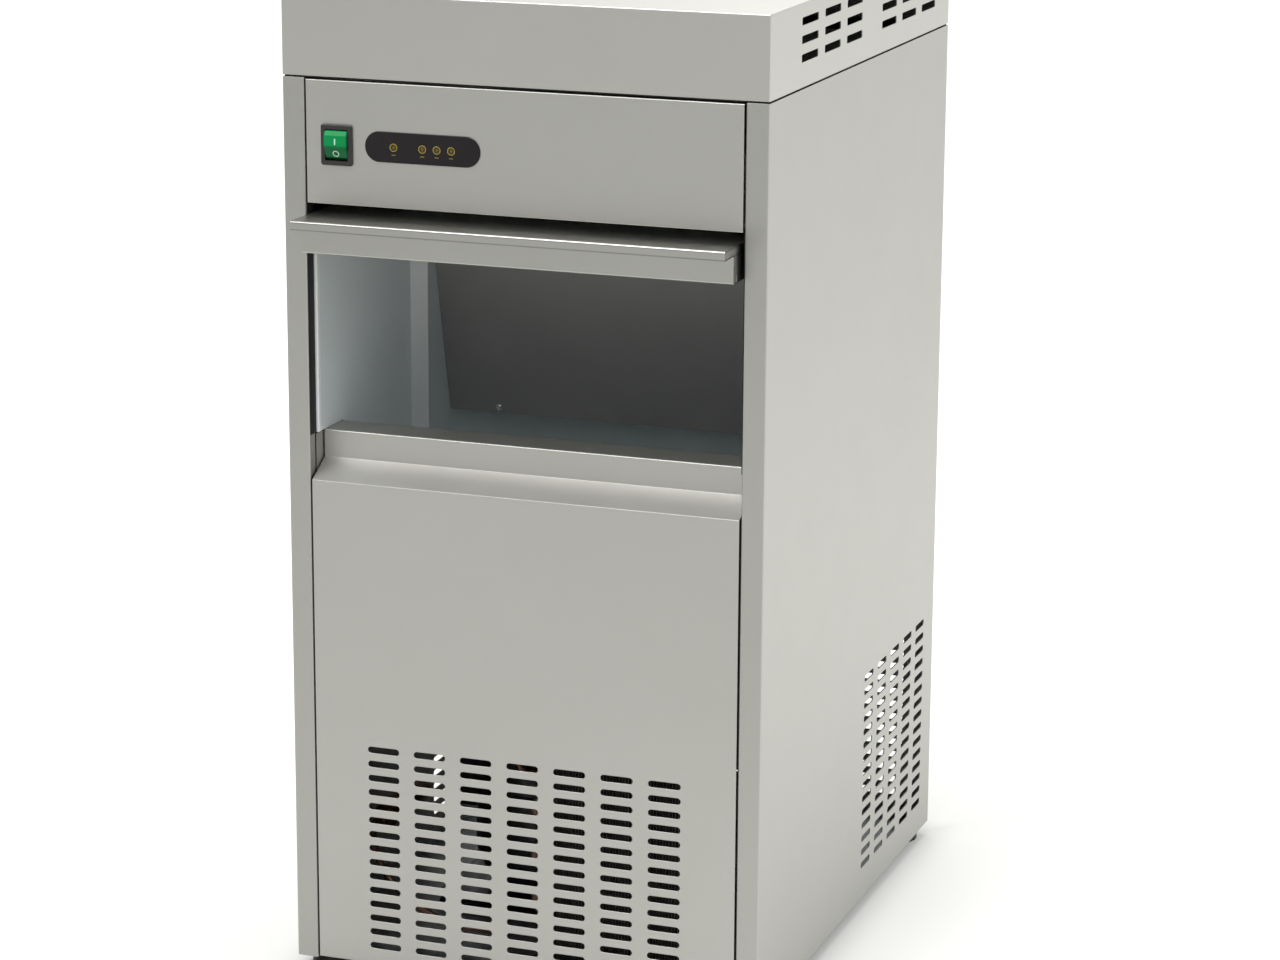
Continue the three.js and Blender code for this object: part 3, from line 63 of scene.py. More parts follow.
class Wire:
    """An output socket of a material, on which sums and products are written as Python."""

    def __init__(self, tree, socket):
        self.tree = tree
        self.socket = socket

    def node(self, kind, inputs, output=0, **settings):
        made = self.tree.nodes.new("ShaderNode" + kind)
        for name, value in settings.items():
            setattr(made, name, value)
        for name, value in inputs.items():
            if isinstance(value, Wire):
                self.tree.links.new(value.socket, made.inputs[name])
            else:
                made.inputs[name].default_value = value
        return Wire(self.tree, made.outputs[output]) if made.outputs else None

    def math(self, operation, first, second=0.0):
        return self.node("Math", {0: first, 1: second}, operation=operation)

    def __add__(self, other):
        return self.math("ADD", self, other)

    def __radd__(self, other):
        return self.math("ADD", other, self)

    def __sub__(self, other):
        return self.math("SUBTRACT", self, other)

    def __rsub__(self, other):
        return self.math("SUBTRACT", other, self)

    def __mul__(self, other):
        return self.math("MULTIPLY", self, other)

    def __rmul__(self, other):
        return self.math("MULTIPLY", other, self)

    def __abs__(self):
        return self.math("ABSOLUTE", self)

    def scaled(self, factors):
        return self.node("VectorMath", {0: self, 1: factors}, operation="MULTIPLY")

    def along(self, axis):
        return self.node("SeparateXYZ", {0: self}, "XYZ".index(axis))

    def noise(self, scale, detail=2.0, roughness=0.5):
        inputs = {"Vector": self, "Scale": scale, "Detail": detail, "Roughness": roughness}
        return self.node("TexNoise", inputs)

    def spread(self, low, high):
        """The value eased from 0 at low to 1 at high."""
        inputs = {"Value": self, "From Min": low, "From Max": high}
        return self.node("MapRange", inputs, interpolation_type="SMOOTHSTEP")

    def tint(self, low, high):
        """A colour between two others, by the value."""
        return self.node("Mix", {0: self, 6: low, 7: high}, 2, data_type="RGBA")

    def bump(self, strength, distance):
        return self.node("Bump", {"Height": self, "Strength": strength, "Distance": distance})


def surface(slot, draw, name=None):
    """A finish: draw takes the place on the object and gives the shader's values."""
    finish = bpy.data.materials.new(name or slot)
    finish.use_nodes = True
    finish["slot"] = slot
    tree = finish.node_tree
    shader = tree.nodes["Principled BSDF"]
    place = Wire(tree, tree.nodes.new("ShaderNodeTexCoord").outputs["Object"])
    for socket, value in draw(place).items():
        if isinstance(value, Wire):
            tree.links.new(value.socket, shader.inputs[socket])
        else:
            shader.inputs[socket].default_value = value
    return finish


def shade(red, green, blue, factor=1.0):
    """A colour as eight-bit screen values, turned into the linear values of a socket."""
    linear = [((c / 255 + 0.055) / 1.055) ** 2.4 * factor for c in (red, green, blue)]
    return (*linear, 1.0)


same_spot = 2e-6


def put(name, shape, finish, body="root", node=None, sharp=35.0):
    """Makes the shape a piece of the machine: its faces run smooth up to the sharp edges."""
    bmesh.ops.remove_doubles(shape, verts=shape.verts, dist=same_spot)
    bmesh.ops.recalc_face_normals(shape, faces=shape.faces)
    for face in shape.faces:
        face.smooth = True
    limit = math.radians(sharp)
    for edge in shape.edges:
        edge.smooth = len(edge.link_faces) == 2 and edge.calc_face_angle(0) < limit
    mesh = bpy.data.meshes.new(name)
    shape.to_mesh(mesh)
    shape.free()
    piece = bpy.data.objects.new(name, mesh)
    bpy.context.collection.objects.link(piece)
    mesh.materials.append(finish)
    normals = piece.modifiers.new("even shading", "WEIGHTED_NORMAL")
    normals.keep_sharp = True
    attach(piece, body)
    if node:
        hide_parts(node)


def dressed(name, node, finish, edge, body="root"):
    """A piece with the CAD node's form, its triangles joined into faces and its edges broken."""
    shape = bmesh.new()
    shape.from_mesh(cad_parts[node].data)
    bmesh.ops.remove_doubles(shape, verts=shape.verts, dist=same_spot)
    flat, sharp = math.radians(0.5), math.radians(35)
    bmesh.ops.dissolve_limit(shape, angle_limit=flat, verts=shape.verts, edges=shape.edges)
    edges = [e for e in shape.edges if len(e.link_faces) == 2 and e.calc_face_angle(0) > sharp]
    bmesh.ops.bevel(
        shape, geom=edges, offset=edge, segments=2, profile=0.5, affect="EDGES",
        clamp_overlap=True,
    )
    bmesh.ops.remove_doubles(shape, verts=shape.verts, dist=1e-5)
    put(name, shape, finish, body, node)


def draw_galvanised(place):
    spangle = place.node("TexVoronoi", {"Vector": place, "Scale": 90.0}, 1)
    grey = spangle.node("SeparateColor", {0: spangle})
    worn = place.noise(14.0, 3.0) * 0.5 + grey * 0.5
    return {
        "Base Color": worn.tint(shade(140, 143, 146), shade(186, 189, 190)),
        "Metallic": 0.85,
        "Roughness": 0.42 + 0.16 * worn,
        "Normal": grey.bump(0.06, 0.0004),
    }


galvanised = surface("galvanised", draw_galvanised)
dressed("pan_pressing", "base_pan", galvanised, edge=0.0003)

# Levelling feet
# Four moulded nylon pads, each with a threaded stem that screws up through the base pan, so
# that turning the pad levels the cabinet. The pad has a grip of shallow flutes round its rim.


def softened(points, radius=0.0, steps=5, closed=False):
    """The outline with its corners turned into arcs. A third value is a corner's own radius."""
    made = []
    for i, point in enumerate(points):
        corner = Vector(point[:2])
        reach = point[2] if len(point) > 2 else radius
        if reach == 0 or (not closed and i in (0, len(points) - 1)):
            made.append(corner)
            continue
        back = (Vector(points[i - 1][:2]) - corner).normalized()
        ahead = (Vector(points[(i + 1) % len(points)][:2]) - corner).normalized()
        half = back.angle(ahead) / 2
        centre = corner + (back + ahead).normalized() * reach / math.sin(half)
        start = corner + back * reach / math.tan(half) - centre
        end = corner + ahead * reach / math.tan(half) - centre
        turn = math.atan2(start.x * end.y - start.y * end.x, start.dot(end))
        for step in range(steps + 1):
            made.append(centre + Matrix.Rotation(turn * step / steps, 2) @ start)
    return made


def stood(axis, a, b, along):
    """A point of an outline, put in its place along the axis."""
    return {"X": (along, a, b), "Y": (a, along, b), "Z": (a, b, along)}[axis]


def turned(profile, centre, axis="Z", sides=48, wobble=None, shape=None):
    """Turns a closed profile of (radius, height) points round an axis through the centre."""
    shape = shape or bmesh.new()
    rings = []
    for i in range(sides):
        angle = 2 * math.pi * i / sides
        ring = []
        for radius, height in profile:
            reach = radius * (wobble(angle, radius, height) if wobble else 1)
            spot = stood(axis, reach * math.cos(angle), reach * math.sin(angle), height)
            ring.append(shape.verts.new(Vector(centre) + Vector(spot)))
        rings.append(ring)
    for i, ring in enumerate(rings):
        after = rings[(i + 1) % sides]
        for j in range(len(profile)):
            k = (j + 1) % len(profile)
            corners = [ring[j], ring[k], after[k], after[j]]
            if profile[j][0] == 0:
                corners.remove(after[j])
            if profile[k][0] == 0:
                corners.remove(after[k])
            if len(corners) > 2:
                shape.faces.new(corners)
    return shape


def axle(node, axis="Z"):
    """The middle of the node's box, at zero along the axis."""
    centre = sum(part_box(node), Vector()) / 2
    centre["XYZ".index(axis)] = 0
    return centre


def even(low, high, roughness, swing, cloud, grain, bump, metallic=0.0, specular=0.5):
    """Draws a material whose colour and roughness drift together, over a fine grain.

    The cloud and the grain are a noise's scale and detail, the bump its strength and depth.
    """

    def draw(place):
        drift = place.noise(*cloud)
        return {
            "Base Color": drift.tint(shade(*low), shade(*high)),
            "Roughness": roughness + swing * drift,
            "Normal": place.noise(*grain).bump(*bump),
            "Metallic": metallic,
            "Specular IOR Level": specular,
        }

    return draw


def moulded(low, high, roughness, grain=900.0):
    bump = (0.08, 0.0002)
    return even(low, high, roughness - 0.05, 0.1, cloud=(12.0, 3.0), grain=(grain,), bump=bump)


black_plastic = surface("black_plastic", moulded((34, 32, 33), (46, 43, 42), 0.42))
black_rubber = surface("black_rubber", moulded((24, 24, 24), (32, 32, 31), 0.7, 500.0))
pad_radius = 0.017
pad_rim = 0.004
neck_radius = 0.012
stem_radius = 0.005
thread_pitch = 0.0015
foot_thread_root = stem_radius - 0.0004
flutes = 18
flute_share = 0.035
gap = 0.0003


def foot_grip(angle, radius, height):
    return 1 - flute_share * max(0.0, math.cos(flutes * angle)) * (radius > 0.9 * pad_radius)


for corner in ("front_left", "front_right", "rear_left", "rear_right"):
    node = "levelling_foot_" + corner
    low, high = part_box(node)
    pad_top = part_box("base_pan")[0].z - gap
    profile = [(0, low.z)]
    profile += softened([
        (0.8 * pad_radius, low.z), (pad_radius, low.z, 0.0008),
        (pad_radius, low.z + pad_rim, 0.0012), (neck_radius, pad_top, 0.001),
        (stem_radius, pad_top),
    ])
    for turn in range(int((high.z - pad_top) / thread_pitch)):
        profile.append((foot_thread_root, pad_top + (turn + 0.25) * thread_pitch))
        profile.append((stem_radius, pad_top + (turn + 0.75) * thread_pitch))
    profile += [(foot_thread_root, high.z), (0, high.z)]
    shape = turned(profile, axle(node), sides=72, wobble=foot_grip)
    put("foot_" + corner, shape, black_plastic, "foot_" + corner, node)

# Compressor on its mount
# A pot of two deep-drawn steel halves welded round the middle and enamelled black, with a
# plastic cover over the terminals, on a pressed plate that stands on four rubber bushes.


def draw_enamel(place):
    cloud = place.noise(20.0, 3.0)
    return {
        "Base Color": cloud.tint(shade(38, 38, 40), shade(54, 54, 55)),
        "Roughness": 0.3 + 0.22 * place.noise(160.0, 4.0),
        "Coat Weight": 0.35 * cloud,
        "Normal": place.noise(260.0, 2.0).bump(0.1, 0.0003),
    }


black_enamel = surface("black_enamel", draw_enamel)
low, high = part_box("compressor")
pot_radius = (high.x - low.x) / 2
pot_centre = axle("compressor")
pot_height = high.z - low.z
weld_height = low.z + 0.52 * pot_height
dome_shares = [(0.55, 0, 0.006), (0.85, 0.05, 0.014), (0.985, 0.18, 0.018)]
crown_shares = [(0.985, 0.78, 0.018), (0.88, 0.92, 0.014), (0.55, 1, 0.006)]
weld = [(0.985, -0.004, 0.0005), (1, -0.0025, 0.002), (1, 0.0025, 0.002), (0.985, 0.004, 0.0005)]
outline = [(0, low.z)]
outline += [(r * pot_radius, low.z + h * pot_height, bend) for r, h, bend in dome_shares]
outline += [(r * pot_radius, weld_height + rise, bend) for r, rise, bend in weld]
outline += [(r * pot_radius, low.z + h * pot_height, bend) for r, h, bend in crown_shares]
outline += [(0, high.z)]
profile = [(max(0, p[0]), p[1]) for p in softened(outline, steps=6)]
put("compressor_pot", turned(profile, pot_centre, sides=96), black_enamel, node="compressor")


def skin(shape, rings, ends=True):
    """Joins rings of corners, each to the next, and closes the two ends."""
    for first, second in zip(rings, rings[1:]):
        for i in range(len(first)):
            j = (i + 1) % len(first)
            shape.faces.new([first[i], first[j], second[j], second[i]])
    if ends:
        shape.faces.new(rings[0])
        shape.faces.new(rings[-1])
    return shape


def sweep(outline, axis, low, high, edge=0.0, shape=None):
    """The outline drawn out along an axis, with a small chamfer at both of its ends."""
    shape = shape or bmesh.new()
    points = [Vector(p[:2]) for p in outline]
    levels = [(points, low), (points, high)]
    if edge:
        inner = set_in(points, edge)
        levels = [(inner, low), (points, low + edge), (points, high - edge), (inner, high)]
    rings = [[shape.verts.new(stood(axis, *p, along)) for p in ring] for ring, along in levels]
    return skin(shape, rings)


def set_in(points, distance, closed=True):
    """The outline moved inwards by a distance, or an open path moved sideways."""
    if distance == 0:
        return points
    count = len(points)
    if closed:
        area = sum(
            points[i - 1][0] * points[i][1] - points[i][0] * points[i - 1][1]
            for i in range(count)
        )
        distance = math.copysign(distance, area * distance)
    made = []
    for i, point in enumerate(points):
        here = Vector(point[:2])
        before = after = None
        if closed or i:
            before = (here - Vector(points[i - 1][:2])).normalized()
        if closed or i < count - 1:
            after = (Vector(points[(i + 1) % count][:2]) - here).normalized()
        first = before or after
        second = after or before
        normal = Vector((-first.y - second.y, first.x + second.x)).normalized()
        stretch = normal.dot(Vector((-first.y, first.x)))
        made.append(here + normal * distance / stretch)
    return made


def box_outline(a0, a1, b0, b1, radius=0.0, steps=4):
    return softened([(a0, b0), (a1, b0), (a1, b1), (a0, b1)], radius, steps, closed=True)


def block(low, high, axis, radius=0.0, edge=0.0, steps=4, shape=None):
    """A box between two corners: its long edges are rounded and its ends are chamfered."""
    a, b, along = {"X": (1, 2, 0), "Y": (0, 2, 1), "Z": (0, 1, 2)}[axis]
    outline = box_outline(low[a], high[a], low[b], high[b], radius, steps)
    return sweep(outline, axis, low[along], high[along], edge, shape)


def near_corners(low, high, inset, height):
    return [
        (x, y, height) for x in (low.x + inset, high.x - inset)
        for y in (low.y + inset, high.y - inset)
    ]


cover_half = 0.022
cover_reach = 0.020
cover_low = 0.088
cover_high = 0.160
cover_end = low.x + 0.3 * pot_radius
pot_x, pot_y = pot_centre.xy
shape = block(
    (low.x - cover_reach, pot_y - cover_half, cover_low),
    (cover_end, pot_y + cover_half, cover_high), "X", radius=0.004, edge=0.0012,
)
put("compressor_terminal_cover", shape, black_plastic)
low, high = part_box("compressor_mount")
plate_round = 0.010
plate_gauge = 0.003
plate_base = high.z - plate_gauge
bush_radius = 0.008
bush_waist = 0.0062
bush_lip = 0.0026
shape = block((low.x, low.y, plate_base), high, "Z", plate_round, edge=0.0006, steps=8)
put("compressor_plate", shape, black_enamel, node="compressor_mount")
bush = softened([
    (0, low.z), (bush_radius, low.z, 0.0008), (bush_radius, low.z + bush_lip, 0.0008),
    (bush_waist, low.z + bush_lip, 0.0004), (bush_waist, plate_base - bush_lip, 0.0004),
    (bush_radius, plate_base - bush_lip, 0.0008), (bush_radius, plate_base, 0.0002),
    (0, plate_base),
], steps=4)
for i, centre in enumerate(near_corners(low, high, bush_radius, 0), 1):
    shape = turned(bush, centre, sides=40)
    put(f"compressor_bush_{i}", shape, black_rubber, node="compressor_mount")

# Condenser
# A stack of aluminium fins pressed on a copper tube that runs to and fro through them, held
# between two galvanised end plates. It stands behind the right half of the front slots.


def metal(low, high, roughness, scale=120.0):
    return even(
        low, high, roughness - 0.06, 0.14, cloud=(scale, 3.0), grain=(8 * scale,),
        bump=(0.1, 0.0002), metallic=1.0,
    )


def pipe(route, radius, sides=20):
    """A round bar along the route. Its radius is a number or depends on the length run."""
    shape = bmesh.new()
    rings = []
    normal = (route[1] - route[0]).orthogonal()
    run = 0.0
    for i, spot in enumerate(route):
        before = route[max(i - 1, 0)]
        along = (route[min(i + 1, len(route) - 1)] - before).normalized()
        normal = (normal - along * normal.dot(along)).normalized()
        other = along.cross(normal)
        run += (spot - before).length
        reach = radius(run) if callable(radius) else radius
        turns = [2 * math.pi * k / sides for k in range(sides)]
        rings.append([
            shape.verts.new(spot + reach * (math.cos(t) * normal + math.sin(t) * other))
            for t in turns
        ])
    return skin(shape, rings)


copper = surface("copper", metal((134, 106, 92), (162, 130, 112), 0.38))
fin_aluminium = surface("fin_aluminium", metal((128, 126, 122), (158, 155, 150), 0.5))
low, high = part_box("condenser")
fin_count = 56
fin_gauge = 0.0003
fin_margin = 0.001
fin_inset = 0.014
end_gauge = 0.0012
passes = 8
turn_steps = 12
condenser_bore = 0.004
condenser_left = low.x
hot_port = high.z - 0.014
liquid_port = 0.040
row_y = (low.y + high.y) / 2
fin_left = low.x + fin_inset
fin_right = high.x - fin_inset
shape = bmesh.new()
for i in range(fin_count):
    x = fin_left + (fin_right - fin_left) * (i + 1) / (fin_count + 1)
    fin_low = (x, low.y, low.z + fin_margin)
    block(fin_low, (x + fin_gauge, high.y, high.z - fin_margin), "X", shape=shape)
put("condenser_fins", shape, fin_aluminium, node="condenser")
for name, x in (("left", fin_left), ("right", fin_right)):
    x -= end_gauge / 2
    end = (x + end_gauge, high.y, high.z)
    shape = block((x, low.y, low.z), end, "X", radius=0.002, edge=0.0002)
    put("condenser_end_" + name, shape, galvanised, node="condenser")
pass_drop = (hot_port - liquid_port) / (passes - 1)
route = [Vector((low.x, row_y, hot_port))]
for i in range(passes - 1):
    heading = -1 if i % 2 else 1
    turn_x = fin_right if heading > 0 else fin_left
    for k in range(turn_steps + 1):
        angle = math.pi * k / turn_steps
        route.append(Vector((
            turn_x + heading * pass_drop / 2 * math.sin(angle), row_y,
            hot_port - pass_drop * (i + (1 - math.cos(angle)) / 2),
        )))
route.append(Vector((low.x, row_y, liquid_port)))
put("condenser_tube", pipe(route, condenser_bore, 16), copper, node="condenser")

# Condenser fan
# A pressed shroud with a round throat, and in it five twisted blades moulded on a hub. They turn
# on the shaft of a small motor, which a bent bracket holds up from the base pan.

spare = 0.010


def combined(base, add=(), cut=(), within=()):
    """The base shape with some shapes added to it, some cut out of it and some as its bounds."""

    def holder(shape):
        mesh = bpy.data.meshes.new("step")
        bmesh.ops.recalc_face_normals(shape, faces=shape.faces)
        shape.to_mesh(mesh)
        shape.free()
        made = bpy.data.objects.new("step", mesh)
        bpy.context.collection.objects.link(made)
        return made

    whole = holder(base)
    steps = [("UNION", shape) for shape in add] + [("DIFFERENCE", shape) for shape in cut]
    for operation, shape in steps + [("INTERSECT", shape) for shape in within]:
        tool = holder(shape)
        modifier = whole.modifiers.new("step", "BOOLEAN")
        modifier.operation = operation
        modifier.object = tool
        modifier.solver = "EXACT"
        graph = bpy.context.evaluated_depsgraph_get()
        result = bpy.data.meshes.new_from_object(whole.evaluated_get(graph))
        whole.modifiers.clear()
        whole.data = result
        bpy.data.objects.remove(tool)
    made = bmesh.new()
    made.from_mesh(whole.data)
    bpy.data.objects.remove(whole)
    bmesh.ops.remove_doubles(made, verts=made.verts, dist=same_spot)
    return made


def slot(a, b, length, height, radius=0.0):
    """The outline of a slot round the point (a, b)."""
    return box_outline(a - length / 2, a + length / 2, b - height / 2, b + height / 2, radius)


def pan_head(name, spot, axis, facing, finish, radius=0.004, lean=0.0):
    """A pan-head screw with a cross recess, its head proud of the plate at the spot."""
    rise = 0.55 * radius
    dome = softened([
        (0, 0), (radius, 0), (radius, 0.4 * rise, 0.5 * rise), (0.55 * radius, rise, 0.6 * rise),
        (0, rise),
    ], steps=4)
    along = "XYZ".index(axis)
    base = spot[along]
    centre = Vector(spot)
    centre[along] = 0
    shape = turned([(max(0, r), base + facing * h) for r, h in dome], centre, axis, 32)
    arm, width = radius, 0.26 * radius
    u, v = (spot[k] for k in range(3) if k != along)
    near, far = sorted((base + 0.5 * facing * rise, base + 1.5 * facing * rise))
    cuts = [slot(u, v, a, b) for a, b in ((arm, width), (width, arm))]
    shape = combined(shape, cut=[sweep(cut, axis, near, far) for cut in cuts])
    turn = Matrix.Rotation(lean, 3, "X")
    bmesh.ops.rotate(shape, verts=shape.verts, cent=spot, matrix=turn)
    put(name, shape, finish)


zinc = even(
    (226, 228, 230), (240, 241, 242), 0.12, 0.08, cloud=(200.0,), grain=(900.0,),
    bump=(0.03, 0.0001), metallic=1.0,
)
bright_zinc = surface("stainless", zinc, "bright_zinc")
low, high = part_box("fan_shroud")
fan_centre = axle("fan_shroud", "Y")
throat = 0.078
collar_radius = 0.080
mouth_radius = 0.0795
shroud_mouth = 0.003
collar_base = low.y + 0.001
shroud_gauge = 0.002
plate = block(low, (high.x, low.y + shroud_gauge, high.z), "Y", radius=0.003, edge=0.0003)
collar = softened([
    (0, collar_base), (collar_radius, collar_base), (collar_radius, high.y, 0.0008),
    (0, high.y),
])
bore = [
    (0, low.y - spare), (mouth_radius, low.y - spare), (mouth_radius, low.y),
    (throat, low.y + shroud_mouth), (throat, high.y + spare), (0, high.y + spare),
]
collar, bore = (turned(profile, fan_centre, "Y", sides=96) for profile in (collar, bore))
put("shroud_pressing", combined(plate, [collar], [bore]), black_enamel, node="fan_shroud")

low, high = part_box("fan_blades")
hub_radius = 0.020
hub_bore = 0.0045
hub_wall = 0.004
blade_count = 5
blade_steps = 10
section_steps = 12
blade_root, blade_tip = 0.017, 0.074
root_width, tip_width = 0.026, 0.044
root_pitch, tip_pitch = math.radians(38), math.radians(20)
blade_gauge = 0.0016
blade_camber = 0.08
tip_round_share = 0.7
shape = turned(softened([
    (0, low.y), (hub_radius, low.y, 0.005), (hub_radius, high.y, 0.001),
    (hub_bore, high.y, 0.0005), (hub_bore, low.y + hub_wall), (0, low.y + hub_wall),
]), fan_centre, "Y", sides=64)
for blade in range(blade_count):
    rings = []
    for i in range(blade_steps + 1):
        share = i / blade_steps
        reach = blade_root + (blade_tip - blade_root) * share
        pitch = root_pitch + (tip_pitch - root_pitch) * share
        narrowing = max(0.0, (share - tip_round_share) / (1 - tip_round_share)) ** 2
        width = (root_width + (tip_width - root_width) * share) * math.sqrt(1 - 0.6 * narrowing)
        ring = []
        for k in range(section_steps):
            t = 2 * math.pi * k / section_steps
            chord = width / 2 * math.cos(t)
            rise = blade_gauge / 2 * math.sin(t) + blade_camber * width * math.sin(t) ** 2
            angle = 2 * math.pi * blade / blade_count
            angle += (chord * math.cos(pitch) - rise * math.sin(pitch)) / reach
            depth = chord * math.sin(pitch) + rise * math.cos(pitch)
            ring.append(shape.verts.new((
                fan_centre.x + reach * math.cos(angle), (low.y + high.y) / 2 + depth,
                fan_centre.z + reach * math.sin(angle),
            )))
        rings.append(ring)
    skin(shape, rings)
put("fan_wheel", shape, black_plastic, "fan", "fan_blades")

low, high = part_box("fan_motor")
motor_shaft = 0.004
motor_front = high.y - 0.046
stack_radius = (high.x - low.x) / 2
bell_radius = 0.88 * stack_radius
boss_radius = 0.36 * stack_radius
profile = softened([
    (0, low.y), (motor_shaft, low.y, 0.0004), (motor_shaft, motor_front, 0.0004),
    (boss_radius, motor_front, 0.001), (boss_radius + 0.002, motor_front + 0.005, 0.001),
    (bell_radius - 0.002, motor_front + 0.006, 0.003), (bell_radius, motor_front + 0.014, 0.0002),
    (stack_radius, motor_front + 0.0145, 0.0003), (stack_radius, high.y - 0.0145, 0.0003),
    (bell_radius, high.y - 0.014, 0.0002), (bell_radius - 0.002, high.y - 0.003, 0.003),
    (boss_radius, high.y, 0.001), (0, high.y),
], steps=4)
shape = turned(profile, fan_centre, "Y", sides=72)
put("fan_motor_can", shape, black_enamel, node="fan_motor")

low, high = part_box("fan_bracket")
bracket_gauge = 0.003
screw_inset = 0.012
bracket_top = low.z + bracket_gauge
bracket_front = high.y - bracket_gauge
outline = softened([
    (low.y, low.z), (high.y, low.z, 0.004), (high.y, high.z), (bracket_front, high.z),
    (bracket_front, bracket_top, 0.001), (low.y, bracket_top),
], 0.0006, closed=True)
shape = sweep(outline, "X", low.x, high.x, edge=0.0004)
put("bracket_plate", shape, galvanised, node="fan_bracket")
for name, x in (("left", low.x + screw_inset), ("right", high.x - screw_inset)):
    spot = (x, (low.y + high.y) / 2, bracket_top)
    pan_head("bracket_screw_" + name, spot, "Z", 1, bright_zinc, radius=0.0035)

# Ice machine
# A gear motor hangs under a shelf on two legs. On the shelf its cast gearbox carries the
# freezing barrel, in which the auger turns and lifts the ice to the window at the top.

cast_aluminium = surface("cast_aluminium", metal((150, 152, 154), (176, 178, 180), 0.5))
steel = metal((168, 168, 166), (194, 194, 191), 0.3)
machined_steel = surface("stainless", steel, "stainless_machined")
dressed("stand_shelf", "gear_stand", galvanised, edge=0.0006)
low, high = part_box("gear_motor")
machine_centre = axle("gear_motor")
motor_radius = (high.x - low.x) / 2
rib_count = 36
groove_share = 0.94
rib_margin = 0.022
rib_base, rib_end = low.z + rib_margin, high.z - rib_margin


def motor_ribs(angle, radius, height):
    ribbed = radius == motor_radius and rib_base < height < rib_end
    return groove_share if ribbed and math.cos(rib_count * angle) < -0.5 else 1


profile = softened([
    (0, low.z), (0.6 * motor_radius, low.z, 0.004), (motor_radius, low.z + 0.008, 0.004),
    (motor_radius, rib_base - 0.0001),
])
profile += [
    (motor_radius, rib_base + 0.0001), (motor_radius, rib_end - 0.0001),
    (motor_radius, rib_end + 0.0001), (motor_radius, high.z), (0, high.z),
]
shape = turned(profile, machine_centre, sides=4 * rib_count, wobble=motor_ribs)
put("gear_motor_can", shape, black_enamel, node="gear_motor")


def taken_in(inset, base, top, radius, edge=0.0):
    """A block from base to top, with its sides set in from those of the latest box."""
    start = (low.x + inset, low.y + inset, base)
    end = (high.x - inset, high.y - inset, top)
    return block(start, end, "Z", radius - inset, edge, steps=8)


def rod(radius, start, end, centre, axis="Z", sides=48, shape=None, inner=0):
    """A round bar between two places along its axis, or a tube where it has an inner radius."""
    profile = [(inner, start), (radius, start), (radius, end), (inner, end)]
    return turned(profile, centre, axis, sides, shape=shape)


low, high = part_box("gearbox")
cast_round = 0.012
split_height = low.z + 0.027
split_half = 0.003
groove = 0.0006
shaft_bore = 0.0095
bore_depth = 0.028
bolt_inset = 0.008
shape = combined(
    taken_in(0, low.z, split_height - groove, cast_round, edge=0.001),
    [
        taken_in(2 * groove, split_height - split_half, split_height + split_half, cast_round),
        taken_in(0, split_height + groove, high.z, cast_round, edge=0.001),
    ],
    [rod(shaft_bore, high.z - bore_depth, high.z + spare, machine_centre)],
)
put("gearbox_casting", shape, cast_aluminium, node="gearbox")
for i, spot in enumerate(near_corners(low, high, bolt_inset, high.z), 1):
    pan_head(f"gearbox_bolt_{i}", spot, "Z", 1, bright_zinc)

low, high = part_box("evaporator_barrel")
barrel_side = low.x - gap
barrel_radius = (high.x - low.x) / 2
barrel_waist = barrel_radius - 0.0015
barrel_bore = 0.031
barrel_rim = 0.010
journal_bore = 0.0085
window_half = 0.026
window_rise = 0.005
barrel_end = 0.008
barrel_floor, barrel_ceiling = low.z + barrel_end, high.z - barrel_end
chute_low, chute_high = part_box("ice_chute")
profile = softened([
    (shaft_bore, low.z, 0), (barrel_radius, low.z, 0.001), (barrel_radius, low.z + barrel_rim),
    (barrel_waist, low.z + barrel_rim), (barrel_waist, high.z - barrel_rim),
    (barrel_radius, high.z - barrel_rim), (barrel_radius, high.z, 0.001), (journal_bore, high.z),
    (journal_bore, barrel_ceiling, 0), (barrel_bore, barrel_ceiling, 0.002),
    (barrel_bore, barrel_floor, 0.002), (shaft_bore, barrel_floor, 0),
], 0.0005, 4, closed=True)
window = block(
    (machine_centre.x - window_half, low.y - spare, chute_low.z + window_rise),
    (machine_centre.x + window_half, machine_centre.y, barrel_ceiling - gap), "Y",
    radius=0.002,
)
shape = combined(turned(profile, machine_centre, sides=96), cut=[window])
put("barrel_shell", shape, cast_aluminium, node="evaporator_barrel")

low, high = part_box("auger")
auger_clearance = 0.001
core_base = barrel_floor + auger_clearance
core_top = chute_low.z
core_radius = 0.014
auger_shaft = 0.009
auger_journal = 0.008
flight_pitch = 0.048
flight_turns = 4.5
flight_steps = 48
flight_section = [
    (0.012, 0), (0.0285, 0.0004), (0.0295, 0.0014), (0.0295, 0.0036), (0.0285, 0.0046),
    (0.012, 0.005),
]
profile = softened([
    (0, low.z), (auger_shaft, low.z, 0.001), (auger_shaft, core_base, 0.0003),
    (core_radius, core_base, 0.0006), (core_radius, core_top, 0.004),
    (auger_journal, core_top + core_radius, 0.004), (auger_journal, high.z, 0.0008), (0, high.z),
])
shape = turned(profile, machine_centre, sides=64)
rings = []
for i in range(int(flight_turns * flight_steps) + 1):
    angle = 2 * math.pi * i / flight_steps
    rise = core_base + auger_clearance + flight_pitch * i / flight_steps
    foot = machine_centre + Vector((0, 0, rise))
    rings.append([
        shape.verts.new(foot + Vector((r * math.cos(angle), r * math.sin(angle), h)))
        for r, h in flight_section
    ])
put("auger_screw", skin(shape, rings), machined_steel, "auger_shaft", "auger")

# Drier and copper tubes
# The hot gas runs from the compressor to the condenser, the liquid through a spun copper drier,
# and the cold gas from the barrel back to the compressor. The ends are widened and brazed.


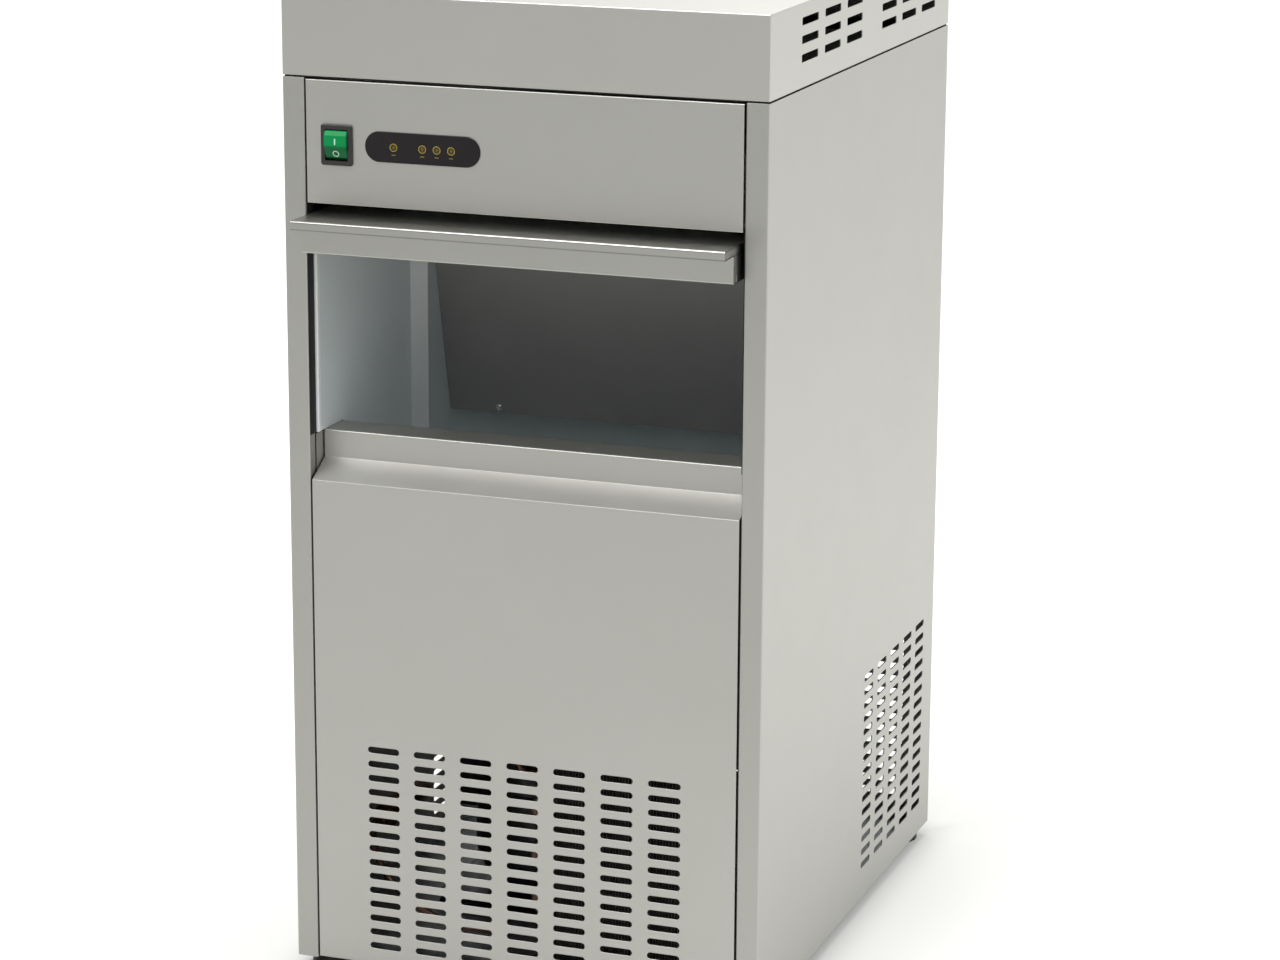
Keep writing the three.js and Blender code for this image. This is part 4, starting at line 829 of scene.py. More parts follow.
def smooth(points, steps=12):
    """A smooth curve through the points, which keeps close to the straight way between them."""
    spots = [Vector(p) for p in points]
    spots = [2 * spots[0] - spots[1], *spots, 2 * spots[-1] - spots[-2]]
    made = []
    for four in zip(spots, spots[1:], spots[2:], spots[3:]):
        knots = [0.0]
        for first, second in zip(four, four[1:]):
            knots.append(knots[-1] + math.sqrt((second - first).length))
        for step in range(steps):
            t = knots[1] + (knots[2] - knots[1]) * step / steps
            row = list(four)
            for reach in (1, 2):
                row = [
                    row[i].lerp(row[i + 1], (t - knots[i]) / (knots[i + reach] - knots[i]))
                    for i in range(len(row) - 1)
                ]
            made.append(row[0].lerp(row[1], (t - knots[1]) / (knots[2] - knots[1])))
    return [*made, spots[-2]]


def evenly(route, spacing):
    """The same route with its points set at equal steps."""
    made = [route[0]]
    left = spacing
    for first, second in zip(route, route[1:]):
        span = (second - first).length
        while left <= span:
            made.append(first.lerp(second, left / span))
            left += spacing
        left -= span
    if (made[-1] - route[-1]).length < spacing / 3:
        made.pop()
    return [*made, route[-1]]


def brazed(radius, length):
    """How wide a tube is along its run, with a sleeve brazed on both of its ends."""
    return lambda run: radius * (sleeve_share if run < sleeve or run > length - sleeve else 1)


low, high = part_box("filter_drier")
drier_centre = axle("filter_drier", "Y")
drier_radius = 0.011
drier_neck = 0.0048
profile = softened([
    (0, low.y), (drier_neck, low.y, 0.0006), (drier_neck, low.y + 0.004, 0.003),
    (drier_radius, low.y + 0.013, 0.006), (drier_radius, high.y - 0.013, 0.006),
    (drier_neck, high.y - 0.004, 0.003), (drier_neck, high.y, 0.0006), (0, high.y),
], steps=8)
put("drier_can", turned(profile, drier_centre, "Y"), copper, node="filter_drier")

straight = 0.014
bend = 0.025
sleeve = 0.009
sleeve_share = 1.16
tube_spacing = 0.003
pot_right = pot_x + pot_radius + gap
pot_back = pot_y + pot_radius + gap
pot_port = 0.150
foam_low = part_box("bin_insulation")[0].z
crest = foam_low - straight
port_x = condenser_left - gap
start_x = port_x - straight
drier_x, drier_z = drier_centre.xz
machine_y = machine_centre.y
riser_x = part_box("gear_stand")[0].x - 0.023
riser_y = machine_y - 2 * bend
suction_port = 0.600
routes = {
    "discharge": (0.004, [
        (pot_right, pot_y, pot_port), (pot_right + straight, pot_y, pot_port),
        (pot_right + straight, pot_y - bend, crest - bend),
        (pot_right - bend, pot_y - 3 * bend, crest), (start_x, row_y + 2 * bend, crest),
        (start_x, row_y + 0.004, hot_port + straight), (port_x - 0.004, row_y, hot_port),
        (port_x, row_y, hot_port),
    ]),
    "liquid": (0.003, [
        (port_x, row_y, liquid_port), (start_x, row_y, liquid_port),
        ((port_x + drier_x) / 2, row_y, liquid_port),
        (drier_x + bend, row_y + 0.004, (liquid_port + drier_z) / 2),
        (drier_x, low.y - straight, drier_z), (drier_x, low.y - gap, drier_z),
    ]),
    "suction": (0.005, [
        (barrel_side, machine_y, suction_port), (barrel_side - straight, machine_y, suction_port),
        (riser_x, riser_y + straight, suction_port - 2 * bend),
        (riser_x, riser_y, (suction_port + foam_low) / 2), (riser_x, riser_y, foam_low),
        (pot_x, pot_back + 2 * straight, pot_port + bend),
        (pot_x, pot_back + straight, pot_port), (pot_x, pot_back, pot_port),
    ]),
}
for name, (radius, points) in routes.items():
    route = evenly(smooth(points), tube_spacing)
    width = brazed(radius, (len(route) - 2) * tube_spacing)
    put(name + "_pipe", pipe(route, width), copper, node=name + "_tube")

# Bin liner
# One vacuum-formed tub of white plastic with a smooth floor and round corners. It is open at the
# front above the ledge, and each side wall has a shallow upright rib that stiffens it.


def vacuum_formed(low, high):
    def draw(place):
        cloud = place.noise(6.0, 3.0)
        waves = place.noise(420.0) + place.noise(24.0) * 4
        return {
            "Base Color": cloud.tint(shade(*low), shade(*high)),
            "Roughness": 0.32 + 0.1 * cloud,
            "Normal": waves.bump(0.05, 0.0006),
        }

    return draw


liner_plastic = surface("liner_plastic", vacuum_formed((230, 238, 240), (238, 244, 246)))
# The ribs and the beads at the front edges of the side walls are drawn in a paler copy of the liner
# plastic: painted light on the rib facets and a painted highlight along the front edges.
lit_liner_plastic = vacuum_formed((246, 249, 250), (250, 252, 252))
rib_plastic = surface("liner_plastic", lit_liner_plastic, "liner_rib_painted_light")
sides = (("left", -1), ("right", 1))
low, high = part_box("bin_liner")
ledge_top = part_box("lower_front_panel")[1].z
ledge_drop = 0.0015
tub_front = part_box("lower_front_panel")[1].y + gap
wing_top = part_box("door_skin")[0].z - 0.003
wing_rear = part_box("door_skin")[1].y + 0.0095
liner_wall = 0.002
liner_corner = 0.040
liner_front_corner = 0.006
liner_floor_round = 0.025
drain_hole = 0.0113
rib_front = low.y + 0.189
rib_rear = rib_front + 0.010
rib_depth = 0.012
bead_width = 0.003
bead_depth = 0.006
inside = high.x - liner_wall


def tub(inset, top):
    """The tub's outline in two views, taken in from the outer face, as one solid."""
    x = high.x - inset
    front, rear = tub_front + inset, high.y - inset
    floor = low.z + inset
    sunk = liner_wall - inset
    fold = liner_floor_round + sunk
    side = [(front, floor, fold), (rear, floor, fold), (rear, top), (front, top)]
    fold, corner = liner_front_corner + sunk, liner_corner + sunk
    plan = [(-x, front, fold), (x, front, fold), (x, rear, corner), (-x, rear, corner)]
    side, plan = (softened(view, steps=12, closed=True) for view in (side, plan))
    bounds = sweep(plan, "Z", floor - spare, top + spare)
    return combined(sweep(side, "X", -x, x), within=[bounds])


wing = block(
    (-high.x, low.y, ledge_top + gap), (high.x, high.y - liner_corner - liner_wall, wing_top), "Z"
)
mouth = block(
    (-inside, low.y - spare, ledge_top - ledge_drop),
    (inside, tub_front + liner_wall + liner_front_corner + gap, high.z + spare), "Z",
)
notch = block(
    (-high.x - spare, low.y - spare, wing_top), (high.x + spare, wing_rear, high.z + spare), "Z"
)
clearance = Vector((gap, 0, gap))
chute_hole = block(chute_low - clearance, chute_high + clearance, "Y")
drain = rod(drain_hole, low.z - spare, low.z + spare, axle("drain_fitting"))
cuts = [tub(liner_wall, high.z + spare), mouth, notch, chute_hole, drain]
shape = combined(tub(0, high.z), [wing], cuts)
put("liner_tub", shape, liner_plastic, node="bin_liner", sharp=25.0)
for name, side in sides:
    foot, crown = inside + 0.0004, inside - rib_depth
    corners = [
        (foot, rib_front), (inside, rib_front, 0.002), (crown, rib_rear - 0.001, 0.0008),
        (crown, rib_rear, 0.0004), (foot, rib_rear),
    ]
    outline = softened([(side * x, *rest) for x, *rest in corners], closed=True)
    shape = sweep(outline, "Z", low.z + liner_wall + liner_floor_round, wing_top, edge=0.0004)
    # Paler plastic: painted light on the rib facet.
    put("liner_rib_" + name, shape, rib_plastic)
    near, far = sorted((side * (high.x - 0.0001), side * (high.x - bead_width)))
    shape = block(
        (near, low.y - 0.0001, ledge_top + 0.0005), (far, low.y + bead_depth, wing_top - 0.0002),
        "Z", radius=0.0012, edge=0.0003,
    )
    # Paler plastic: painted highlight along the front edge.
    put("liner_bead_" + name, shape, rib_plastic)

# Insulation
# Foam poured round the tub, under it, behind it and in front of it, up to the side rails. Where it
# comes out beside the door and behind the front panel it is drawn black, as painted shade.

painted_shade_base = 0.585
painted_shade_rear = -0.17
painted_shade_edge = 0.0005


def draw_foam(place):
    foam = moulded((214, 200, 142), (228, 216, 164), 0.9, 350.0)(place)
    behind = place.along("Y").spread(painted_shade_rear - painted_shade_edge, painted_shade_rear)
    # Painted shade: the foam is black above one height and in front of one depth.
    unshaded_foam = behind * (1 - place.along("Z").spread(painted_shade_base, painted_shade_base + painted_shade_edge))
    return foam | {
        "Base Color": unshaded_foam.tint(shade(30, 30, 29), foam["Base Color"]),
        "Roughness": 0.62 + 0.3 * unshaded_foam,
    }


dressed("foam_body", "bin_insulation", surface("foam", draw_foam), edge=0.0008)

# Side panels
# One sheet of satin stainless steel for each side, folded round into the front post and again
# behind, with five columns of punched air slots low at the rear.


# Satin steel. Its colour factor paints light or shade onto a copy of the same steel.
def brushed(grain, roughness=0.41, painted_light_factor=1.0):
    def draw(place):
        lines = place.scaled(grain).noise(1.0, 3.0, 0.6)
        worn = place.noise(5.0, 3.0) * 0.7 + lines * 0.3
        return {
            "Base Color": worn.tint(shade(186, 185, 180, painted_light_factor), shade(192, 191, 187, painted_light_factor)),
            "Metallic": 1.0,
            "Roughness": roughness + 0.05 * lines + 0.05 * place.noise(28.0, 4.0),
            "Normal": lines.bump(0.05, 0.0001),
        }

    return draw


grain_across = (25.0, 2500.0, 2500.0)
grain_lengthways = (2500.0, 25.0, 2500.0)
grain_upright = (2500.0, 2500.0, 25.0)
# The copies differ in grain and in a colour factor: the factor paints shade on the side sheets, the
# gap facings and the rear screws (0.91) and light on the lid (1.08).
upright = surface("stainless", brushed(grain_upright, painted_light_factor=0.91), "stainless_upright_painted_shade")
across = surface("stainless", brushed(grain_across), "stainless_across")
lengthways = surface("stainless", brushed(grain_lengthways, painted_light_factor=1.08), "stainless_lengthways_painted_light")
gauge = 0.001
bend_radius = 0.0015
crease = 0.0005
burr = 0.00012
bend_steps = 6


def filled(shape, outline, holes, spot):
    """Adds a flat face with its holes left out. spot puts a point of the outline in its place."""
    loops = [outline, *holes]
    points = [Vector(p[:2]) for loop in loops for p in loop]
    numbers = iter(range(len(points)))
    rims = [[next(numbers) for _ in loop] for loop in loops]
    made = delaunay_2d_cdt(points, [], rims, 2, 1e-7)
    corners = [shape.verts.new(spot(*p)) for p in made[0]]
    for face in made[2]:
        shape.faces.new([corners[i] for i in face])


def hole_walls(shape, hole, at):
    """Adds the wall of a punched hole. at gives the way to place its points at some depth."""
    rings = []
    for widening, depth in ((burr, 0), (0, burr), (0, gauge)):
        rings.append([shape.verts.new(at(depth)(*p)) for p in set_in(hole, -widening)])
    skin(shape, rings, ends=False)


def sheet_metal(path, low, high, holes=None, side=1, radius=bend_radius, place=None):
    """A folded sheet. The path is its outer face, and holes are listed by stretch of the path."""
    shape = bmesh.new()
    place = place or (lambda a, b, along: (along, a, b))
    outer = softened(path, radius, bend_steps)
    depths = (0, burr, gauge - burr, gauge)
    levels = [set_in(outer, side * depth, closed=False) for depth in depths]
    order = (
        (0, low + burr), (0, high - burr), (1, high), (2, high),
        (3, high - burr), (3, low + burr), (2, low), (1, low),
    )
    rings = [
        [shape.verts.new(place(*levels[depth][i], along)) for depth, along in order]
        for i in range(len(outer))
    ]
    pierced = {number * (bend_steps + 1): number for number in holes or {}}
    for i, (first, second) in enumerate(zip(rings, rings[1:])):
        for k in range(len(order)):
            if i in pierced and k in (0, 4):
                continue
            after = (k + 1) % len(order)
            shape.faces.new([first[k], second[k], second[after], first[after]])
        if i in pierced:
            number = pierced[i]
            start = Vector(path[number][:2])
            ahead = (Vector(path[number + 1][:2]) - start).normalized()
            inward = Vector((-ahead.y, ahead.x)) * side

            def at(depth):
                return lambda u, t: place(*(start + ahead * u + inward * depth), t)

            wide = [set_in(hole, -burr) for hole in holes[number]]
            for face, cuts in ((0, wide), (3, holes[number])):
                near, far = ((levels[face][j] - start).dot(ahead) for j in (i, i + 1))
                rim = box_outline(near, far, low + burr, high - burr)
                filled(shape, rim, cuts, at(depths[face]))
            for hole in holes[number]:
                hole_walls(shape, hole, at)
    shape.faces.new(rings[0])
    shape.faces.new(rings[-1])
    return shape


slot_height = 0.0055
slot_round = 0.0027
slot_row_pitch = 0.01205
slot_rows = 15
side_slot_length = 0.027
side_slot_pitch = 0.040
side_slot_columns = 5
side_slot_rear_margin = 0.0455
side_slot_rise = 0.030
post_return = 0.010
rear_return = 0.015

for name, side in sides:
    low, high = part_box(name + "_side_panel")
    edge = max(abs(low.x), high.x)
    post = abs(low.x if side > 0 else high.x)
    last_slot = high.y - low.y - side_slot_rear_margin
    columns = [last_slot - side_slot_pitch * i for i in range(side_slot_columns)]
    rows = [low.z + side_slot_rise + slot_row_pitch * i for i in range(slot_rows)]
    size = (side_slot_length, slot_height, slot_round)
    holes = [slot(column, row, *size) for column in columns for row in rows]
    path = [
        (post, low.y + post_return), (post, low.y), (edge, low.y),
        (edge, high.y), (edge - rear_return, high.y),
    ]
    shape = sheet_metal(
        path, low.z, high.z, {2: holes}, place=lambda a, b, along: (side * a, b, along)
    )
    put(name + "_side_sheet", shape, upright, node=name + "_side_panel")

# Control panel
# A stainless plate with a flange at its top and its base, pierced for the switch and the lamps.


def circle(a, b, radius, sides=24):
    turns = [2 * math.pi * i / sides for i in range(sides)]
    return [(a + radius * math.cos(t), b + radius * math.sin(t)) for t in turns]


window_low, window_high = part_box("indicator_window")
window_z = (window_low.z + window_high.z) / 2
switch_x, switch_z = axle("switch_housing", "Y").xz
low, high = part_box("control_panel")
control_top_flange = 0.012
control_bend = 0.0008
lamp_boxes = [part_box(f"indicator_lamp_{i}") for i in (1, 2, 3, 4)]
lamp_places = [(a.x + b.x) / 2 for a, b in lamp_boxes]
lamp_hole = 0.0025
switch_hole = (0.029, 0.0226, 0.001)
holes = [slot(high.z - switch_z, switch_x, *switch_hole)]
holes += [circle(high.z - window_z, x, lamp_hole) for x in lamp_places]
path = [
    (low.y + control_top_flange, high.z), (low.y, high.z), (low.y, low.z), (high.y, low.z),
]
shape = sheet_metal(path, low.x, high.x, {1: holes}, radius=control_bend)
put("control_plate", shape, across, node="control_panel")

# Lower front panel
# One sheet folded into the ledge of the bin, the recessed strip under it, the slope and the
# face, with seven columns of slots that let air through to the condenser.

low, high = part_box("lower_front_panel")
strip_y = low.y + 0.025
strip_base = high.z - 0.0225
slope_base = strip_base - 0.0138
lower_return = 0.009
front_slot_length = 0.0273
front_slot_pitch = 0.0402
front_slots_beside = 3
front_slot_rise = 0.0164
last_slot = slope_base - low.z - front_slot_rise
columns = [front_slot_pitch * i for i in range(-front_slots_beside, front_slots_beside + 1)]
rows = [last_slot - slot_row_pitch * i for i in range(slot_rows)]
size = (slot_height, front_slot_length, slot_round)
holes = [slot(row, column, *size) for column in columns for row in rows]
path = [
    (high.y, high.z), (strip_y, high.z), (strip_y, strip_base, crease),
    (low.y, slope_base, crease), (low.y, low.z), (low.y + lower_return, low.z),
]
shape = sheet_metal(path, low.x, high.x, {3: holes})
put("lower_front_sheet", shape, across, node="lower_front_panel")

# Gap shade strips
# A black rubber strip down the inner face of each front post, broken off at the recess. Its black
# is painted shade that fills the gap beside the front panels, and a steel strip behind it hides the
# foam at their ends.

strip_edge = 0.0001
strip_foot = low.z + 0.002
strip_lap = 0.001
shade_strip_front = low.y + 0.0012
shade_strip_clearance = 0.0009
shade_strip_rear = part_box("bin_liner")[0].y - gap
for name, side in sides:
    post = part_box("right_side_panel")[0].x - gap
    near, far = sorted((side * (high.x + shade_strip_clearance), side * post))
    outline = box_outline(near, far, shade_strip_front, shade_strip_rear, strip_edge)
    shape = sweep(outline, "Z", strip_foot, slope_base, strip_edge)
    sweep(outline, "Z", high.z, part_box("bin_liner")[1].z, strip_edge, shape)
    # Painted shade: a black strip in the gap beside the front post.
    put("gap_shade_strip_" + name, shape, black_rubber)
    start, end = (near, shade_strip_rear - gap, strip_foot), (far, high.y, high.z - strip_lap)
    put("gap_facing_" + name, block(start, end, "Z", strip_edge, strip_edge), upright)

# Top lid
# A tray of stainless steel turned upside down over the casing, with its corners welded and
# ground round, and two groups of nine wide slots in each side for the warm air.

low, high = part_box("top_lid")
lid_corner = 0.0012
lid_corner_steps = 4
lid_slot_length = 0.0425
lid_slot_height = 0.0062
lid_slot_round = 0.0014
lid_slot_pitch = 0.060
lid_slot_group_pitch = 0.220
lid_slot_first = 0.100
lid_slot_row_pitch = 0.0142
lid_slot_rise = 0.0224
lid_slots = [
    slot(
        low.y + lid_slot_first + lid_slot_group_pitch * group + lid_slot_pitch * column,
        low.z + lid_slot_rise + lid_slot_row_pitch * row,
        lid_slot_length, lid_slot_height, lid_slot_round,
    )
    for group in range(2) for column in range(3) for row in range(3)
]


def plan_of(low, high, inset, radius=0.0):
    """The outline of a box seen from above, set in on all sides."""
    return box_outline(low.x + inset, high.x - inset, low.y + inset, high.y - inset, radius)


def lid_face(shape, levels, widening):
    """Adds one face of the tray, from its rim to its top, with the slots in its long sides."""
    rings = []
    for inset, height in levels:
        plan = plan_of(low, high, inset, max(lid_corner - inset, 0.0002))
        rings.append([shape.verts.new((*p, height)) for p in plan])
    corner = lid_corner_steps + 1
    slots = [set_in(hole, -widening) for hole in lid_slots]
    for level, (first, second) in enumerate(zip(rings, rings[1:])):
        for i in range(len(first)):
            j = (i + 1) % len(first)
            corners = [first[i], first[j], second[j], second[i]]
            if level == 1 and i in (2 * corner - 1, 4 * corner - 1):
                x = first[i].co.x
                filled(shape, [vert.co.yz for vert in corners], slots, lambda a, b: (x, a, b))
            else:
                shape.faces.new(corners)
    shape.faces.new(rings[-1])
    return rings[0]


def lid_levels(depth, rim):
    """How far a face lies inside the box at each height, from its rim round the top's bend."""
    radius = bend_radius - depth
    levels = [(rim, low.z), (depth, low.z + burr)]
    for i in range(bend_steps + 1):
        turn = math.pi / 2 * i / bend_steps
        inset = depth + radius * (1 - math.cos(turn))
        levels.append((inset, high.z - depth - radius * (1 - math.sin(turn))))
    return levels


shape = bmesh.new()
rims = [
    lid_face(shape, lid_levels(0, burr), burr),
    lid_face(shape, lid_levels(gauge, gauge - burr), 0),
]
skin(shape, rims, ends=False)
for _, side in sides:
    for hole in lid_slots:
        hole_walls(shape, hole, lambda depth: lambda a, b: (side * (high.x - depth), a, b))
put("lid_tray", shape, lengthways, node="top_lid")

# Lid gasket
# A soft black foam strip laid round the top of the casing, squeezed by the lid, and a second
# strip on the inside of the rear panel that closes the gap above it.


def draw_foam_rubber(place):
    pores = place.noise(1600.0, 3.0)
    return {
        "Base Color": pores.tint(shade(20, 20, 20), shade(38, 38, 37)),
        "Roughness": 0.82 + 0.1 * pores,
        "Normal": pores.bump(0.4, 0.0003),
    }


foam_rubber = surface("black_rubber", draw_foam_rubber, "foam_rubber")
low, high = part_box("lid_seal")
gasket_width = 0.0115
gasket_top = high.z + 0.0014
gasket_edge = 0.0006
shape = bmesh.new()
rings = [
    [shape.verts.new((*p, height)) for p in plan_of(low, high, inset)]
    for inset, height in (
        (0, low.z), (0, gasket_top - gasket_edge), (gasket_edge, gasket_top),
        (gasket_width - gasket_edge, gasket_top), (gasket_width, gasket_top - gasket_edge),
        (gasket_width, low.z),
    )
]
put("lid_gasket", skin(shape, [*rings, rings[0]], ends=False), foam_rubber, node="lid_seal")
rear_low, rear_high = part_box("rear_panel")
gasket_inset = 0.001
gasket_reach = 0.0024
gasket_lap = 0.006
rear_clearance = 0.0002
lid_clearance = 0.0001
shape = block(
    (rear_low.x + gasket_inset, rear_low.y - gasket_reach, rear_high.z - gasket_lap),
    (rear_high.x - gasket_inset, rear_low.y - rear_clearance, low.z - lid_clearance), "X",
    radius=0.0004, edge=0.0004,
)
put("rear_gasket", shape, foam_rubber)

# Sliding door
# A stainless skin over a moulded core. The skin is folded into a hollow lip in front, closed by
# a plate at each end, and a rubber strip runs down both sides. It rides on two nylon sliders.

low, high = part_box("door_skin")
fold_z = high.z - 0.0074
face_y = low.y + 0.021
door_flange = 0.012
end_depth = 0.030
end_inset = 0.0002
notch_width = 0.0008
notch_height = 0.006
path = [
    (high.y, high.z), (low.y, high.z), (low.y, fold_z, crease), (face_y, fold_z),
    (face_y, low.z), (face_y + door_flange, low.z),
]


# The door's satin steel, with painted shade: its colour factor draws it darker than the other
# steel, and a dark band along the lip's lower fold paints the shade under the lip.
def draw_door_steel(place):
    steel = brushed(grain_across, 0.24, 0.88)(place)
    height = place.along("Z")
    above = 1 - height.spread(fold_z + 0.0007, fold_z + 0.0015)
    # Painted shade: a dark band at the lip's lower fold.
    fold = height.spread(fold_z - 0.0006, fold_z) * above
    return steel | {"Base Color": (fold * 0.45).tint(steel["Base Color"], shade(70, 70, 66))}


polished = surface("stainless", draw_door_steel, "stainless_polished_painted_shade")
put("door_sheet", sheet_metal(path, low.x, high.x), polished, "door", "door_skin")
end_path = softened([p[:2] for p in path], bend_radius, bend_steps)
end_path = set_in(end_path, end_inset, closed=False)
end_base = end_path[-1].y
notch_y = face_y + 0.0075
end_outline = [
    (face_y + end_depth, high.z - end_inset), *end_path[1:-1],
    (notch_y, end_base), (notch_y, end_base + notch_height),
    (notch_y + notch_width, end_base + notch_height), (notch_y + notch_width, end_base),
    (face_y + end_depth, end_base),
]
for name, side in sides:
    near, far = sorted((side * high.x, side * (high.x - gauge)))
    put("door_end_" + name, sweep(end_outline, "X", near, far, burr), polished, "door")

# Door core and runners
# The door's plastic core turns on the spigots of two nylon sliders. They run in grooved rails on
# the inside of the side panels, and rubber strips fill the gap beside the door.

white_plastic = surface("white_plastic", moulded((222, 224, 222), (232, 233, 230), 0.4))
grey_plastic = surface("grey_plastic", moulded((166, 164, 163), (178, 176, 174), 0.42))
dressed("core_moulding", "door_core", grey_plastic, edge=0.0006, body="door")
for name, _ in sides:
    dressed("door_strip_" + name, "door_seal_" + name, black_rubber, edge=0.0003, body="door")
    slider = "nylon_slider_" + name
    dressed(slider, "slider_" + name, white_plastic, edge=0.0005, body="door_carriage")
    dressed("rail_" + name, "track_" + name, black_plastic, edge=0.0005)

# Rocker switch
# A black snap-in housing with a raised bezel. The green rocker turns on two pins in its well and
# stands tilted, with its lower end pressed in, and carries a bar and a ring moulded in mint.

low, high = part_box("switch_housing")
bezel_size = (high.x - low.x, high.z - low.z)
well_size = (0.0196, 0.0248)
body_size = (0.022, 0.0284)
bezel_depth = 0.0022
well_depth = 0.018
bezel, body, well = (
    sweep(slot(switch_x, switch_z, *size, rounding), "Y", start, end, edge)
    for size, rounding, start, end, edge in (
        (bezel_size, 0.0018, low.y, low.y + bezel_depth - 0.0002, 0.0006),
        (body_size, 0.0008, low.y + bezel_depth / 2, high.y, 0.0004),
        (well_size, 0.0005, low.y - spare, low.y + well_depth, 0),
    )
)
put("switch_bezel", combined(bezel, [body], [well]), black_plastic, node="switch_housing")


def draw_rocker(place):
    cloud = place.noise(60.0)
    # Painted light and shade: the upper facet of the rocker is drawn a lighter green and the lower
    # facet a darker green.
    upper = place.along("Z").spread(switch_z - 0.0012, switch_z + 0.0004)
    shaded_green = cloud.tint(shade(0, 98, 54), shade(0, 108, 60))
    lit_green = cloud.tint(shade(0, 130, 68), shade(0, 142, 76))
    return {
        "Base Color": upper.tint(shaded_green, lit_green),
        "Roughness": 0.3 + 0.1 * cloud,
        "Normal": place.noise(700.0).bump(0.04, 0.0001),
        "Specular IOR Level": 0.2,
    }


green_rocker = surface("green_rocker", draw_rocker)
pale = even(
    (196, 226, 208), (214, 238, 222), 0.4, 0.1, cloud=(300.0,), grain=(900.0,),
    bump=(0.04, 0.0001),
)
mint = surface("green_rocker", pale, "mint_marks")
rocker_half = 0.0095
rocker_tilt = math.radians(11.8)
rocker_pivot = Vector((switch_x, low.y + 0.0037, switch_z))
crown = -0.0065
shoulder_y, shoulder_z = -0.0046, 0.009
rocker_end_y, rocker_end_z = -0.0018, 0.0118
rocker_back = 0.003


def tilted(shape):
    """Turns a shape made round the rocker's pivot into the rocker's place."""
    turn = Matrix.Translation(rocker_pivot) @ Matrix.Rotation(rocker_tilt, 4, "X")
    bmesh.ops.transform(shape, matrix=turn, verts=shape.verts)
    return shape


outline = softened([
    (crown, 0, 0.006), (shoulder_y, -shoulder_z), (rocker_end_y, -rocker_end_z),
    (rocker_back, -rocker_end_z, 0.0004), (rocker_back, rocker_end_z, 0.0004),
    (rocker_end_y, rocker_end_z), (shoulder_y, shoulder_z),
], 0.0006, closed=True)
shape = tilted(sweep(outline, "X", -rocker_half, rocker_half, edge=0.0005))
put("rocker_cap", shape, green_rocker, "rocker", "switch_rocker")
mark_rise = 0.0001
bar_size = (0.001, 0.0048)
bar_place = 0.0044
ring_place = -0.0056
ring_radius = 0.0027
ring_width = 0.0007


def on_facet(shape, place):
    """Lays a mark, drawn flat round the origin, on the upper or the lower facet of the rocker."""
    slope = math.atan2(shoulder_y - crown, shoulder_z) * math.copysign(1, place)
    depth = crown + (shoulder_y - crown) * abs(place) / shoulder_z
    lay = Matrix.Translation((0, depth - mark_rise, place)) @ Matrix.Rotation(-slope, 4, "X")
    bmesh.ops.transform(shape, matrix=lay, verts=shape.verts)
    return tilted(shape)


shape = sweep(slot(0, 0, *bar_size, radius=0.0001), "Y", 0, 2 * mark_rise)
put("rocker_mark_bar", on_facet(shape, bar_place), mint, "rocker")
inner = ring_radius - ring_width
shape = rod(ring_radius, 0, 2 * mark_rise, (0, 0, 0), "Y", sides=40, inner=inner)
put("rocker_mark_ring", on_facet(shape, ring_place), mint, "rocker")

# Indicator window and lamps
# A thin glossy black pill stuck on the panel. Each of the four lamps shows in a hole of it as
# an olive lens in a brown rim, with a ring printed round it and a tick under it.

glossy = even(
    (26, 21, 24), (34, 29, 31), 0.2, 0.12, cloud=(30.0, 3.0), grain=(120.0,),
    bump=(0.02, 0.0003), specular=0.25,
)
black_window = surface("black_window", glossy)
low, high = window_low, window_high
pill_edge = 0.0003
pill_round = (high.z - low.z) / 2 - 0.0001
shape = bmesh.new()
outline = box_outline(low.x, high.x, low.z, high.z, pill_round, 16)
rings = [
    [shape.verts.new((p.x, y, p.y)) for p in set_in(outline, inset)]
    for inset, y in ((pill_edge, low.y), (0, low.y + pill_edge), (0, high.y))
]
skin(shape, rings, ends=False)
lamp_circles = [circle(x, window_z, lamp_hole) for x in lamp_places]
for inset, y in ((pill_edge, low.y), (0, high.y)):
    filled(shape, set_in(outline, inset), lamp_circles, lambda a, b: (a, y, b))
for hole in lamp_circles:
    rings = [[shape.verts.new((a, y, b)) for a, b in hole] for y in (low.y, high.y)]
    skin(shape, rings, ends=False)
put("window_pill", shape, black_window, node="indicator_window")

